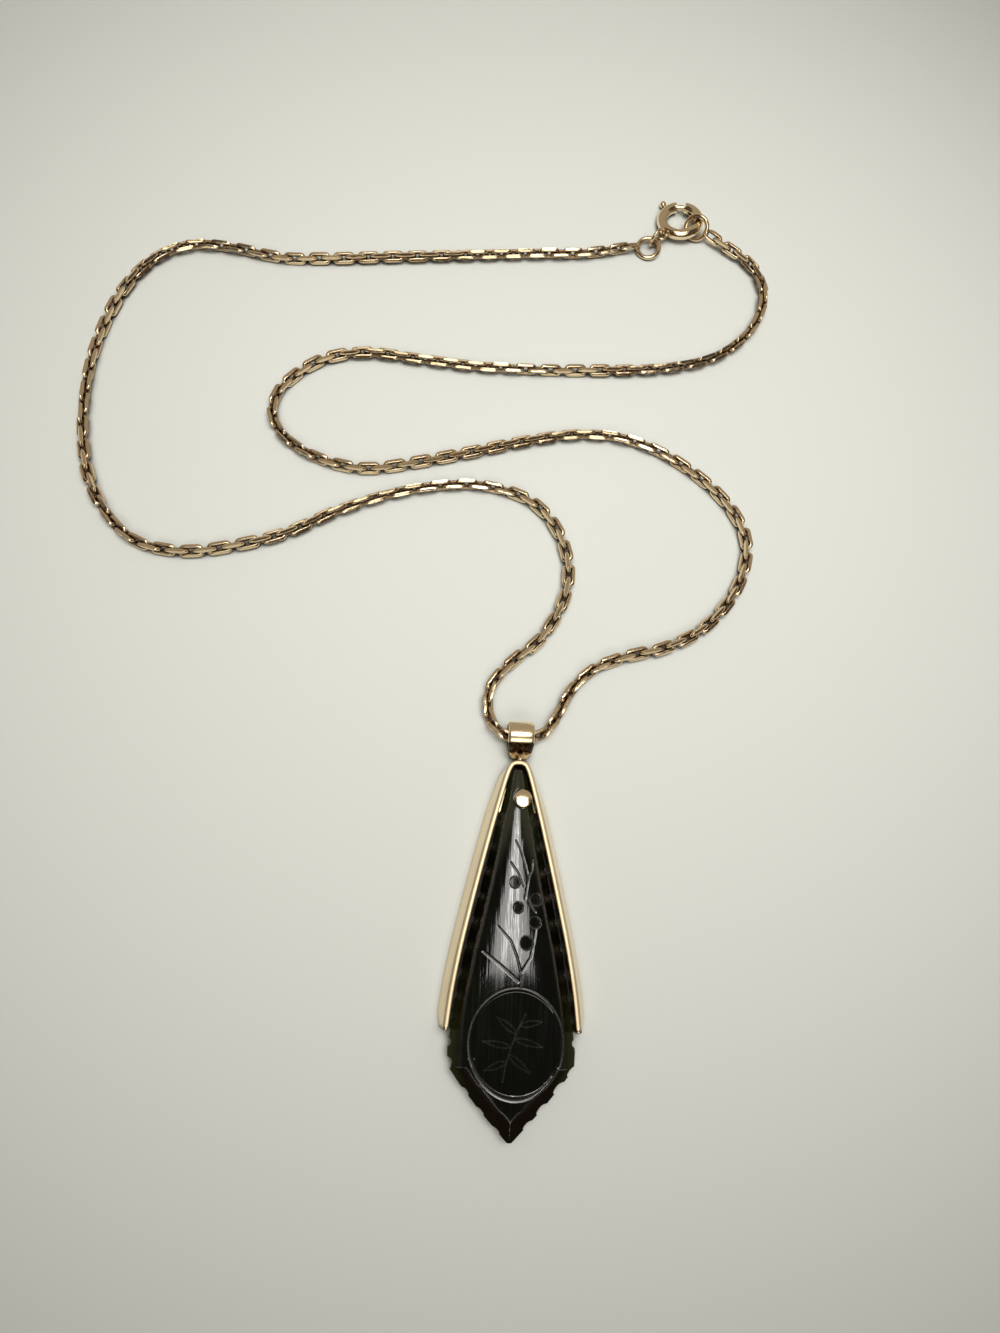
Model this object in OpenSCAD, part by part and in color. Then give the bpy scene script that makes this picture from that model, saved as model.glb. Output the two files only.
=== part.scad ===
// Gold pendant necklace with a carved, notched jade drop, laid flat on a surface.
// +X is to the wearer's left, +Y runs from the pendant up to the clasp, +Z is up from the surface.

/* [Chain] */
// Outside length of one link
link_length = 3.2; // [3.05:0.05:3.25]
// Outside width of one link
link_width = 1.9; // [1.8:0.05:2.0]
// Thickness of the link's filed wire
link_wire = 0.46; // [0.4:0.02:0.48]
// Corner cut on the outline of a link
link_corner = 0.5; // [0.3:0.05:0.6]
// Number of links, with the two that are soldered to the end rings
link_count = 242; // [240:1:244]

/* [Clasp] */
// Outside diameter of the spring ring
clasp_diameter = 7.5; // [7.3:0.1:7.7]
// Outside diameter of its tube
clasp_tube = 1.64; // [1.6:0.02:1.7]
// Bore of the tube
clasp_bore = 1.0; // [0.9:0.05:1.1]
// Diameter of the sliding bolt
bolt_diameter = 0.68; // [0.6:0.02:0.7]
// Diameter of the thumb knob
knob_diameter = 1.1; // [0.9:0.05:1.2]
// Angle that the bolt slides back to open the mouth
clasp_travel = 38; // [30:1:40]

/* [Rings] */
// Outside diameter of the two end rings
end_ring_diameter = 4.05; // [4.0:0.05:4.1]
// Wire of the two end rings
end_ring_wire = 0.62; // [0.58:0.02:0.64]
// Outside diameter of the ring that joins the clasp to the chain
connector_diameter = 3.3; // [3.2:0.05:3.4]
// Wire of the connector ring
connector_wire = 0.44; // [0.4:0.02:0.46]

/* [Bail] */
// Width of the bail's band
bail_width = 3.4; // [3.0:0.1:3.6]
// Height of the bail as it lies
bail_height = 4.1; // [4.0:0.05:4.3]
// Thickness of the band
bail_wall = 0.6; // [0.5:0.05:0.7]

/* [Pendant frame] */
// Height of the frame's walls
frame_height = 3.1; // [2.9:0.1:3.3]
// Width of the polished rail on top
frame_rail = 0.6; // [0.5:0.05:0.7]
// How far the sloped wall runs out beyond the rail at its foot
frame_flare = 0.95; // [0.8:0.05:1.1]
// Thickness of the sheet
frame_sheet = 0.42; // [0.35:0.02:0.5]

/* [Stone and stud] */
// Thickness of the jade over its ridge
stone_thickness = 3.0; // [2.8:0.1:3.2]
// Thickness of the jade at its bevelled edge
stone_edge = 1.3; // [1.1:0.1:1.5]
// Radius of the notches round the edge
notch_radius = 0.42; // [0.3:0.02:0.5]
// Diameter of the stud's head
stud_diameter = 2.25; // [2.0:0.05:2.4]

/* [Hidden] */

GOLD = "#cfae74";
POLISHED = "#dcbd82";
JADE = "#14231a";

// Route of the chain, chosen by hand: x, y, lift above the surface, roll about the route. The chain
// is twisted as it lies, a quarter turn in about 50 mm, so its roll runs on from end to end.
X = 0;
Y = 1;
LIFT = 2;
ROLL = 3;
ROUTE_LEFT = [
    [29.1, 59.5, 0, 30], [22.1, 57.6, 0, 25], [14.1, 56.7, 0, 10], [6.1, 55.7, 0, 0],
    [-1.9, 54.7, 0, -15], [-9.9, 53.7, 0, -20], [-17.9, 52.7, 0, -30], [-25.4, 52.2, 0, -50],
    [-32.9, 53.2, 0, -65], [-38.4, 53.2, 0, -80], [-42.9, 51.2, 0, -90], [-46.4, 47.2, 0, -100],
    [-48.9, 41.2, 0, -120], [-50.4, 33.2, 0, -140], [-50.4, 25.2, 0, -155], [-49.4, 18.2, 0, -175],
    [-47.4, 12.2, 0, -190], [-43.9, 6.7, 0, -225], [-39.4, 3.2, 0, -230], [-33.4, 2.2, 0, -240],
    [-27.4, 3.2, 0, -245], [-19.9, 5.7, 0, -265], [-12.9, 9.7, 0, -275], [-5.4, 13, 0, -285],
    [2.1, 14.9, 0, -295], [8.1, 15.2, 0, -305], [14.1, 13.5, 0, -325], [18.1, 9.5, 0, -340],
    [20.1, 3.7, 0, -350], [19.5, -1.8, 0, -360], [16.6, -7.3, 0, -375], [12.5, -11.3, 0, -390],
    [10, -14.8, 0, -395], [9.9, -18.4, 0.2, -405], [11.5, -20.9, 0.75, -405]];
ROUTE_RIGHT = [
    [14.4, -21.75, 1, -405], [17.4, -20.6, 0.7, -405], [19.1, -18, 0.35, -405],
    [21, -14.4, 0, -410], [24.1, -11.3, 0, -415], [28.6, -9.3, 0, -425], [33.6, -7.8, 0, -440],
    [38.6, -5, 0, -450], [42.6, -0.8, 0, -460], [45.1, 4, 0, -470], [45.8, 9, 0, -475],
    [44.1, 13.7, 0, -485], [39.9, 18.5, 0, -490], [33.6, 22.7, 0, -505], [27.1, 24.7, 0, -520],
    [20.6, 24.6, 0, -535], [13.6, 23, 0, -545], [6.1, 20.7, 0, -555], [-1.9, 18.4, 0, -570],
    [-9.4, 16.8, 0, -575], [-15.4, 17.7, 0, -585], [-20.4, 20.2, 0, -595], [-23.2, 23.7, 0, -590],
    [-23.4, 27.4, 0, -580], [-21.3, 31, 0, -590], [-16.9, 34.5, 0, -600], [-10.9, 36.1, 0, -620],
    [-2.9, 35.7, 0, -630], [5.1, 35.2, 0, -635], [13.1, 35.3, 0, -660], [21.1, 35.8, 0, -685],
    [29.1, 36.5, 0, -715], [36.1, 37.7, 0, -730], [42.1, 39.9, 0, -740], [46.8, 43.8, 0, -750],
    [49.8, 48.7, 0, -770], [50.4, 53.7, 0, -795], [48.3, 58, 0.1, -825], [42.4, 62.2, 0.6, -855]];
ROUTE = concat(ROUTE_LEFT, ROUTE_RIGHT);
route_steps = 12;
// Height of what rests on the surface, so that nothing dips into it.
rest_gap = 0.02;
chain_gap = 0.05;

function polar(radius, angle) = radius * [cos(angle), sin(angle)];

// A smooth curve through the route's points, from each point's slope and the distance to the next.
function flat_gap(i) = norm([ROUTE[i + 1][X] - ROUTE[i][X], ROUTE[i + 1][Y] - ROUTE[i][Y]]);
GAPS = [for (i = [0:len(ROUTE) - 2]) flat_gap(i)];
function slope_at(i) =
    i == 0 ? (ROUTE[1] - ROUTE[0]) / GAPS[0]
    : i == len(ROUTE) - 1 ? (ROUTE[i] - ROUTE[i - 1]) / GAPS[i - 1]
    : (ROUTE[i + 1] - ROUTE[i - 1]) / (GAPS[i] + GAPS[i - 1]);
function blend(i, u) =
    (2 * u^3 - 3 * u^2 + 1) * ROUTE[i]
    + (u^3 - 2 * u^2 + u) * GAPS[i] * slope_at(i)
    + (3 * u^2 - 2 * u^3) * ROUTE[i + 1]
    + (u^3 - u^2) * GAPS[i] * slope_at(i + 1);
FINE = concat(
    [for (i = [0:len(GAPS) - 1], k = [0:route_steps - 1]) blend(i, k / route_steps)],
    [ROUTE[len(ROUTE) - 1]]);
function fine_step(i) = norm([FINE[i][X] - FINE[i - 1][X], FINE[i][Y] - FINE[i - 1][Y]]);
ARC = [for (i = 0, s = 0; i < len(FINE); i = i + 1, s = s + (i < len(FINE) ? fine_step(i) : 0)) s];
ALONG = [for (column = [X, Y, LIFT, ROLL]) [for (i = [0:len(FINE) - 1]) [ARC[i], FINE[i][column]]]];
route_length = ARC[len(ARC) - 1];
link_pitch = route_length / (link_count - 1);
// Part of a bend's bow that the links give way by.
link_settle = 0.75;

function route(s, column) = lookup(s, ALONG[column]);
// Height of a link's middle when the chain lies on the surface, turned by its roll.
function rest_height(roll) =
    let (steep = max(abs(cos(roll)), abs(sin(roll))), flat = min(abs(cos(roll)), abs(sin(roll))))
    link_width / 2 * steep + link_wire / 2 * flat + chain_gap;
function route_point(s) =
    [route(s, X), route(s, Y), route(s, LIFT) + rest_height(route(s, ROLL))];

// The last link of the left half is the one before the bail's middle.
bail_point = len(ROUTE_LEFT);
bail_arc = ARC[bail_point * route_steps];
left_last = floor(bail_arc / link_pitch);

// Clasp: it leans, with one side on the surface and the other on the ring it holds.
clasp_centre = [37.25, 65.15];
clasp_lean_heading = -30.4;
tube_radius = clasp_tube / 2;
clasp_mid = clasp_diameter / 2 - tube_radius;
mouth_start = 72;
mouth_end = 101.5;
knob_angle = 126.6;
knob_stand = 0.12;
knob_radius = clasp_diameter / 2 + knob_diameter / 2 + knob_stand;
stem_diameter = 0.44;
slot_height = 0.7;
slot_margin = 6;
bolt_tip_angle = mouth_start - 8;
bolt_tail_angle = knob_angle + 9;
window_start = 28;
window_angle = 26;
window_height = 0.5;
eye_angle = 225;
eye_mid = 0.72;
eye_wire = 0.4;
eye_radius = clasp_diameter / 2 + 0.62;

// End ring held by the clasp: it goes round the tube at a slant.
solder_bead = 0.48;
end_ring_mid = (end_ring_diameter - end_ring_wire) / 2;
right_ring_slant = 50;
right_ring_centre = clasp_centre + polar(clasp_mid, clasp_lean_heading);
right_ring_height = end_ring_mid * sin(right_ring_slant) + end_ring_wire / 2 + rest_gap;
right_bead = right_ring_centre + polar(end_ring_mid + 0.1, clasp_lean_heading);
clasp_lean = asin((right_ring_height - tube_radius - rest_gap) / (2 * clasp_mid));
clasp_height = (right_ring_height + tube_radius + rest_gap) / 2;

// Connector ring: it stands on edge through the clasp's eye and the left end ring.
connector_mid = (connector_diameter - connector_wire) / 2;
connector_height = connector_diameter / 2 + rest_gap;
connector_heading = 228;
connector_reach = 1.28;
connector_centre = clasp_centre + polar(eye_radius, eye_angle) + polar(connector_reach, connector_heading);

// Left end ring: it leans on the connector ring.
left_ring_centre = [32.1, 59.8];
left_ring_lean = 11;
left_ring_height = end_ring_mid * sin(left_ring_lean) + end_ring_wire / 2 + rest_gap;
left_bead = left_ring_centre - [end_ring_mid, 0];
left_bead_height = 0.62;

// The pendant's own place: its axis, which leans a little, and its rail's middle at the apex.
// Every place below is from there.
pendant_place = [14, -25.1, 0];
pendant_turn = 0.5;

// Bail, seen along X: a round band that narrows to a drilled tip.
bail_shift = 0.15;
bail_radius = bail_height / 2;
bail_middle = [3.6, bail_radius + rest_gap];
bail_tip = [0.95, 1.2];
bail_tip_radius = 0.3;
bail_inside_tip = [2.3, 1.3];
bail_hole = 1;
bail_hole_y = 1.5;
bail_taper_y = 2.7;
bail_tip_width = 2.3;

// Frame: the small ring at its apex goes through the bail's tip, in line with it.
apex_ring_mid = 1.08;
apex_ring_wire = 0.38;
apex_ring_y = 0.45;
apex_ring_z = apex_ring_mid + apex_ring_wire / 2 + 0.05;
apex_ring_tuck = 18;

// Half of the rail's middle line, from the apex down the right arm: distance from the axis, y.
RAIL = [[0, 0], [0.75, -0.2], [1.2, -0.85], [1.65, -2.2], [2.2, -4.2], [3.3, -8.5],
        [4.5, -13.5], [5.6, -18.3], [6.6, -23], [7.4, -27.7], [7.9, -32.1]];
rail_steps = 3;

// Stone: half widths of its outline down the axis, from its rounded top to its point.
STONE = [[0.45, -0.9], [1.05, -1.7], [1.5, -3.6], [3.75, -13.5], [5.9, -23],
         [7.15, -30.7], [7.55, -34.3], [7.45, -36.1], [5.95, -38], [3.5, -40.8], [0.25, -44.1]];
stone_back = 0.6;
stone_ridge_y = -24.7;
stone_ridge_height = stone_back + stone_thickness;
stone_cross_radius = 17;
stone_long_radius = 220;
// Stretches of the edge that are bevelled, each with the stone on its left.
BEVELS = [[[7.15, -30.7], [1.35, -2.9]], [[0.25, -44.1], [7.45, -36.1]]];
bevel_slope = 42;
// Rows of notches down the edge: first place, last place, number of notches.
FIRST = 0;
LAST = 1;
COUNT = 2;
NOTCHES = [[[2.35, -7.2], [5.85, -22.7], 6], [[6.35, -25.7], [7.5, -33.4], 4], [[5.9, -38], [1.3, -43], 4]];

// Stud through the top of the stone, off its axis, and the strap behind it.
stud_place = [0.65, -4.6, 0];
stud_head = 0.55;
stud_seat = 2.45;
stud_pin = 1;
stud_clearance = 0.06;
strap_thickness = 0.45;
strap_top = [2.1, -3.1];
strap_bottom = [2.8, -6.1];

// A link's outline is a rectangle with cut corners round a straight slot.
module link_outline() {
    half_l = link_length / 2;
    half_w = link_width / 2;
    c = link_corner;
    difference() {
        polygon([[half_l, half_w - c], [half_l - c, half_w], [c - half_l, half_w], [-half_l, half_w - c],
                 [-half_l, c - half_w], [c - half_l, -half_w], [half_l - c, -half_w], [half_l, c - half_w]]);
        square([link_length - 2 * link_wire, link_width - 2 * link_wire], center = true);
    }
}

// Every second link stands at right angles to its neighbours. In a bend, a link that lies in the
// bend's plane settles outwards and one that stands across it settles inwards.
module link(index) {
    s = index * link_pitch;
    step = link_pitch / 2;
    here = route_point(s);
    before = route_point(max(s - step, 0));
    after = route_point(min(s + step, route_length));
    run = after - before;
    bow = here - (before + after) / 2;
    heading = atan2(run.y, run.x);
    climb = atan2(run.z, norm([run.x, run.y]));
    roll = route(s, ROLL) + 90 * (index % 2);
    sideways = bow * [-sin(heading), cos(heading), 0];
    upwards = bow * [-sin(climb) * cos(heading), -sin(climb) * sin(heading), cos(climb)];
    translate([here.x, here.y, here.z + link_settle * norm([sideways, upwards])])
        rotate([0, -climb, heading])
            rotate([roll, 0, 0])
                translate([0, link_settle * (sideways * cos(roll) + upwards * sin(roll)),
                           link_settle * (sideways * sin(roll) - upwards * cos(roll))])
                    linear_extrude(link_wire, center = true)
                        link_outline();
}

module ring(mid_radius, wire) {
    rotate_extrude($fn = 96)
        translate([mid_radius, 0])
            circle(d = wire, $fn = 32);
}

module chain_left() {
    color(GOLD)
        for (index = [1:left_last]) link(index);
}

module chain_right() {
    color(GOLD)
        for (index = [left_last + 1:link_count - 2]) link(index);
}

// The ring and the link soldered to it meet in a small bead of solder.
module end_ring_left() {
    color(GOLD) {
        translate([left_ring_centre.x, left_ring_centre.y, left_ring_height])
            rotate([0, left_ring_lean, connector_heading])
                ring(end_ring_mid, end_ring_wire);
        link(0);
        translate([left_bead.x, left_bead.y, left_bead_height])
            sphere(r = solder_bead, $fn = 48);
    }
}

module end_ring_right() {
    color(GOLD) {
        translate([right_ring_centre.x, right_ring_centre.y, right_ring_height])
            rotate([right_ring_slant, 0, clasp_lean_heading])
                ring(end_ring_mid, end_ring_wire);
        link(link_count - 1);
        translate([right_bead.x, right_bead.y, right_ring_height])
            sphere(r = solder_bead, $fn = 48);
    }
}

module connector_ring() {
    color(GOLD)
        translate([connector_centre.x, connector_centre.y, connector_height])
            rotate([90, 0, connector_heading])
                ring(connector_mid, connector_wire);
}

// Puts its children in the clasp's own leaning plane, with the ring's axis along Z.
module in_clasp() {
    translate([clasp_centre.x, clasp_centre.y, clasp_height])
        rotate([0, 0, clasp_lean_heading])
            rotate([0, -clasp_lean, 0])
                rotate([0, 0, -clasp_lean_heading])
                    children();
}

module arc_of(from, angle) {
    rotate([0, 0, from])
        rotate_extrude(angle = angle, $fn = 120)
            children();
}

module clasp_body() {
    color(POLISHED)
        in_clasp()
            difference() {
                union() {
                    arc_of(mouth_end, 360 - mouth_end + mouth_start)
                        translate([clasp_mid, 0])
                            circle(d = clasp_tube, $fn = 48);
                    rotate([0, 0, eye_angle])
                        translate([eye_radius, 0, 0])
                            ring(eye_mid, eye_wire);
                }
                arc_of(mouth_end - 1, 362 - mouth_end + mouth_start)
                    translate([clasp_mid, 0])
                        circle(d = clasp_bore, $fn = 48);
                arc_of(knob_angle - slot_margin, clasp_travel + 2 * slot_margin)
                    translate([clasp_mid, -slot_height / 2])
                        square([clasp_tube, slot_height]);
                arc_of(window_start, window_angle)
                    translate([clasp_mid - clasp_tube, -window_height / 2])
                        square([clasp_tube, window_height]);
            }
}

module clasp_trigger() {
    color(POLISHED)
        in_clasp() {
            arc_of(bolt_tip_angle, bolt_tail_angle - bolt_tip_angle)
                translate([clasp_mid, 0])
                    circle(d = bolt_diameter, $fn = 48);
            rotate([0, 0, knob_angle]) {
                translate([clasp_mid, 0, 0])
                    rotate([0, 90, 0])
                        cylinder(d = stem_diameter, h = knob_radius - clasp_mid, $fn = 32);
                translate([knob_radius, 0, 0])
                    sphere(d = knob_diameter, $fn = 64);
            }
        }
}

function arc_points(centre, radius, from, to, steps) =
    [for (k = [0:steps]) centre + polar(radius, from + (to - from) * k / steps)];

// A big and a small circle joined by the straight lines that touch both.
module tapered_round(big, big_r, small, small_r) {
    run = small - big;
    turn = acos((big_r - small_r) / norm(run));
    heading = atan2(run.y, run.x);
    polygon(concat(
        arc_points(big, big_r, heading + turn, heading + 360 - turn, 48),
        arc_points(small, small_r, heading - turn, heading + turn, 12)));
}

module in_pendant() {
    translate(pendant_place)
        rotate([0, 0, pendant_turn])
            children();
}

module bail() {
    color(POLISHED)
        in_pendant()
            translate([bail_shift, 0, 0])
                difference() {
                    translate([-bail_width / 2, 0, 0])
                        rotate([90, 0, 90])
                            linear_extrude(bail_width)
                                difference() {
                                    tapered_round(bail_middle, bail_radius, bail_tip, bail_tip_radius);
                                    tapered_round(bail_middle, bail_radius - bail_wall,
                                                  bail_inside_tip, bail_tip_radius);
                                }
                    translate([0, bail_hole_y, 0])
                        cylinder(d = bail_hole, h = bail_height, $fn = 48);
                    for (side = [-1, 1])
                        linear_extrude(bail_height + 1)
                            polygon([[side * bail_width, bail_taper_y], [side * bail_width / 2, bail_taper_y],
                                     [side * bail_tip_width / 2, 0], [side * bail_width, 0]]);
                }
}

// The rail's line as a smooth curve down one arm.
RAIL_GAPS = [for (i = [0:len(RAIL) - 2]) norm(RAIL[i + 1] - RAIL[i])];
function rail_slope(i) =
    i == 0 ? [1, 0]
    : i == len(RAIL) - 1 ? (RAIL[i] - RAIL[i - 1]) / RAIL_GAPS[i - 1]
    : (RAIL[i + 1] - RAIL[i - 1]) / (RAIL_GAPS[i] + RAIL_GAPS[i - 1]);
function rail_blend(i, u) =
    (2 * u^3 - 3 * u^2 + 1) * RAIL[i]
    + (u^3 - 2 * u^2 + u) * RAIL_GAPS[i] * rail_slope(i)
    + (3 * u^2 - 2 * u^3) * RAIL[i + 1]
    + (u^3 - u^2) * RAIL_GAPS[i] * rail_slope(i + 1);
RAIL_RIGHT = concat(
    [for (i = [0:len(RAIL) - 2], k = [0:rail_steps - 1]) rail_blend(i, k / rail_steps)],
    [RAIL[len(RAIL) - 1]]);
RAIL_LINE = concat(
    [for (i = [len(RAIL_RIGHT) - 1:-1:1]) [-RAIL_RIGHT[i].x, RAIL_RIGHT[i].y]],
    RAIL_RIGHT);

// Section of the folded sheet: distance out from the rail's middle, height. The sloped wall runs
// out less towards the apex.
half_rail = frame_rail / 2;
flare_apex = 0.1;
flare_rise = 2.9;
flare_shoulder = 0.6;
flare_reach = 15;
function flare_at(y) =
    frame_flare * min(1, flare_apex - y / flare_rise, flare_shoulder - y / flare_reach);
function slope_inside(flare, share) =
    max(half_rail + share * flare - frame_sheet, frame_sheet - half_rail + 0.04);
function frame_section(flare) = [
    [-half_rail, 0], [-half_rail, frame_height], [half_rail, frame_height],
    [half_rail + 0.5 * flare, 0.78 * frame_height], [half_rail + 0.85 * flare, 0.42 * frame_height],
    [half_rail + flare, 0], [slope_inside(flare, 1), 0],
    [slope_inside(flare, 0.85), 0.36 * frame_height], [slope_inside(flare, 0.5), 0.7 * frame_height],
    [frame_sheet - half_rail, frame_height - frame_sheet], [frame_sheet - half_rail, 0]];

function rail_normal(i) =
    let (a = RAIL_LINE[max(i - 1, 0)], b = RAIL_LINE[min(i + 1, len(RAIL_LINE) - 1)], run = b - a)
    [-run.y, run.x] / norm(run);
function frame_corner(i, corner) =
    let (at = RAIL_LINE[i] + corner.x * rail_normal(i))
    [at.x, at.y, corner.y];

module frame_wall() {
    rings = len(RAIL_LINE);
    sides = len(frame_section(frame_flare));
    points = [for (i = [0:rings - 1], corner = frame_section(flare_at(RAIL_LINE[i].y)))
        frame_corner(i, corner)];
    skin = [for (i = [0:rings - 2], k = [0:sides - 1])
        let (a = i * sides + k, b = i * sides + (k + 1) % sides)
        each [[a, b, b + sides], [a, b + sides, a + sides]]];
    near_end = [for (k = [0:sides - 1]) sides - 1 - k];
    far_end = [for (k = [0:sides - 1]) (rings - 1) * sides + k];
    polyhedron(points, concat(skin, [near_end, far_end]));
}

module apex_ring() {
    translate([bail_shift, apex_ring_y, apex_ring_z])
        rotate([0, 90, 0])
            rotate([0, 0, -apex_ring_tuck])
                rotate_extrude(angle = 180 + 2 * apex_ring_tuck, $fn = 96)
                    translate([apex_ring_mid, 0])
                        circle(d = apex_ring_wire, $fn = 32);
}

// The strap runs behind the stone from arm to arm, with a hole for the stud's pin.
module strap() {
    difference() {
        linear_extrude(strap_thickness)
            polygon([[-strap_top.x, strap_top.y], strap_top,
                     strap_bottom, [-strap_bottom.x, strap_bottom.y]]);
        translate([stud_place.x, stud_place.y, -1])
            cylinder(d = stud_pin + 2 * stud_clearance, h = 3, $fn = 48);
    }
}

module pendant_frame() {
    color(POLISHED)
        in_pendant() {
            frame_wall();
            apex_ring();
            strap();
        }
}

module stud() {
    color(POLISHED)
        in_pendant()
            translate(stud_place) {
                cylinder(d = stud_pin, h = stud_seat + 0.1, $fn = 48);
                translate([0, 0, stud_seat + 0.1])
                    cylinder(d = stud_diameter, h = stud_head, $fn = 64);
            }
}

module stone_outline() {
    other = [for (i = [len(STONE) - 1:-1:0]) [-STONE[i].x, STONE[i].y]];
    polygon(concat(STONE, other));
}

// The domed top is part of a large ring lying lengthways in the stone.
module stone_dome() {
    translate([0, stone_ridge_y, stone_ridge_height - stone_long_radius])
        rotate([0, 90, 0])
            rotate([0, 0, 174])
                rotate_extrude(angle = 12, $fn = 1440)
                    intersection() {
                        translate([stone_long_radius - stone_cross_radius, 0])
                            circle(r = stone_cross_radius, $fn = 240);
                        translate([stone_long_radius - 4, -9])
                            square([5, 18]);
                    }
}

// One long wedge that cuts the bevel along a stretch of the stone's edge.
module bevel_cut(from, to) {
    run = to - from;
    outside = 1;
    inside = 2;
    edge_height = stone_back + stone_edge;
    translate([from.x, from.y, edge_height])
        rotate([0, 0, atan2(run.y, run.x)])
            translate([-1, 0, 0])
                rotate([90, 0, 90])
                    linear_extrude(norm(run) + 2)
                        polygon([[-outside, -outside * tan(bevel_slope)],
                                 [inside, inside * tan(bevel_slope)], [-outside, 4]]);
}

module stone_notches() {
    for (side = [-1, 1], row = NOTCHES, k = [0:row[COUNT] - 1]) {
        at = row[FIRST] + (row[LAST] - row[FIRST]) * k / (row[COUNT] - 1);
        translate([side * (at.x + notch_radius * 0.35), at.y, 0])
            cylinder(r = notch_radius, h = 6, $fn = 32);
    }
}

module jade_stone() {
    color(JADE)
        in_pendant()
            difference() {
                intersection() {
                    translate([0, 0, stone_back])
                        linear_extrude(stone_thickness + 1)
                            stone_outline();
                    stone_dome();
                }
                for (side = [0, 1], stretch = BEVELS)
                    mirror([side, 0, 0]) bevel_cut(stretch[FIRST], stretch[LAST]);
                stone_notches();
                translate([stud_place.x, stud_place.y, -1])
                    cylinder(d = stud_pin + 2 * stud_clearance, h = 6, $fn = 48);
                translate([stud_place.x, stud_place.y, stud_seat])
                    cylinder(d = stud_diameter + 2 * stud_clearance, h = 3, $fn = 64);
            }
}

chain_left();
chain_right();
end_ring_left();
end_ring_right();
connector_ring();
clasp_body();
clasp_trigger();
bail();
pendant_frame();
stud();
jade_stone();
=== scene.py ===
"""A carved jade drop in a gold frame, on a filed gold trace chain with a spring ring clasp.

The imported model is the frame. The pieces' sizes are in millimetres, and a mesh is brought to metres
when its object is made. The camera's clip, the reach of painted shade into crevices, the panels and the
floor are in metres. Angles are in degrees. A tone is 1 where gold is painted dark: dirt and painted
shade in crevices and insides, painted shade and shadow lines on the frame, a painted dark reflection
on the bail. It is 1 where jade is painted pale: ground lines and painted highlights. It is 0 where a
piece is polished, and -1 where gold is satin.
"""
import math

import bmesh
import bpy
import numpy as np
from mathutils import Matrix, Vector
from mathutils.kdtree import KDTree


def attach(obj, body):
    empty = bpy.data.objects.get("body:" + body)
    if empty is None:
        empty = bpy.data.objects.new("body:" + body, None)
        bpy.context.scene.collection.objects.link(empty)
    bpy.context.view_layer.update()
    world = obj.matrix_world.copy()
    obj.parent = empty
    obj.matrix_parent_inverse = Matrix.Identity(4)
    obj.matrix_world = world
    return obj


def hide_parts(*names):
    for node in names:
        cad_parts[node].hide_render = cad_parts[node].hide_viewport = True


MM = 0.001
SEED = 7
X, Y, Z = 0, 1, 2
NO_TURN = np.eye(3)
# The tone of painted shade: the bail's inside and the frame's feet
PAINTED_SHADE = 0.9

# Camera, as it stood for the photograph
CAMERA_AIM = (11.1, -11.8, 0.95)
CAMERA_DISTANCE = 116.2
CAMERA_HEADING = 80.24
CAMERA_ELEVATION = 73.0
CAMERA_ROLL = 12.6
CAMERA_CLIP = 0.001
FOCAL_PIXELS = 860.0
PHOTO_HEIGHT_PIXELS = 1333.0
SENSOR = 36.0

# Chain
LINK_LENGTH = 3.46
WIRE = 0.66
WIRE_MIDDLE = 0.6
LINK_CORNER = 0.54
LINK_CORNER_STEPS = 6
LINK_SIDE_STEPS = 4
# Angles round one half of the wire's section, from its outer side
LINK_SECTION = [0, 9, 24, 55, 84, 97, 115, 138, 160]
FILED_TO = 0.9
FILED_RIDGE = 0.06
THINNER_END = 0.2
THINNER_FROM_TO = (0.85, 1.2)
# The wire's inner side is painted darker, for dirt and painted shade between the links: the cosine round
# its section where that begins and is full
INSIDE_FROM_TO = (0.2, -0.8)
INSIDE_TONE = 0.85
PACKED_HALF_WIRE = 0.23
LINK_ROLL_PLAY = 2.0

# Clasp
CLASP_CENTRE = (37.25, 65.15)
CLASP_HEIGHT = 1.2419
CLASP_LEAN = 7.8836
CLASP_LEAN_HEADING = -30.4
TUBE_RADIUS = 0.82
TUBE_MIDDLE = 2.93
TUBE_STEPS = 160
BORE_RADIUS = 0.5
BORE_PAST_MOUTH = 3
MOUTH = (72.0, 101.5)
KNOB_ANGLE = 126.6
KNOB_RADIUS = 4.42
KNOB_SIZE = 0.55
STEM_RADIUS = 0.22
STEM_FLARE = 1.25
BOLT_RADIUS = 0.34
BOLT = (64.0, 135.6)
SLOT = (120.6, 170.6)
SLOT_HEIGHT = 0.7
WINDOW = (28.0, 54.0)
WINDOW_HEIGHT = 0.5
CUT_REACH = 1.6
EYE_ANGLE = 225.0
EYE_RADIUS = 4.37
EYE_MIDDLE = 0.72
EYE_WIRE = 0.2

# Rings
RING_MIDDLE = 1.715
RING_WIRE = 0.36
LEFT_RING = (32.1, 59.8, 0.657)
LEFT_RING_LEAN = 11.0
RIGHT_RING = (39.777, 63.667, 1.6438)
RIGHT_RING_SLANT = 50.0
CONNECTOR = (33.303, 61.109, 1.67)
CONNECTOR_MIDDLE = 1.43
CONNECTOR_WIRE = 0.25
CONNECTOR_HEADING = 228.0
TAG_NARROWING = 0.4
TAG_FROM_TO = (0.2, 1.6)
LEFT_TAG = (29.1, 59.5, 0.988)
LEFT_TAG_TURN = (195.2, 0.0, 30.0)
LEFT_BEAD = (30.385, 59.8, 0.62)
RIGHT_TAG = (42.4, 62.2, 1.484)
RIGHT_TAG_TURN = (144.6, -4.0, 135.0)
RIGHT_BEAD = (41.34, 62.75, 1.6438)
BEAD = 0.48

# Pendant: every place below is from the middle of the frame's rail at its apex
PENDANT = np.array([14.0, -25.1, 0.0])
PENDANT_TURN = 0.5
RAIL = [(0, 0), (0.75, -0.2), (1.2, -0.85), (1.65, -2.2), (2.2, -4.2), (3.3, -8.5),
        (4.5, -13.5), (5.6, -18.3), (6.6, -23), (7.4, -27.7), (7.9, -32.1)]
FRAME_HEIGHT = 3.1
HALF_RAIL = 0.3
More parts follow.
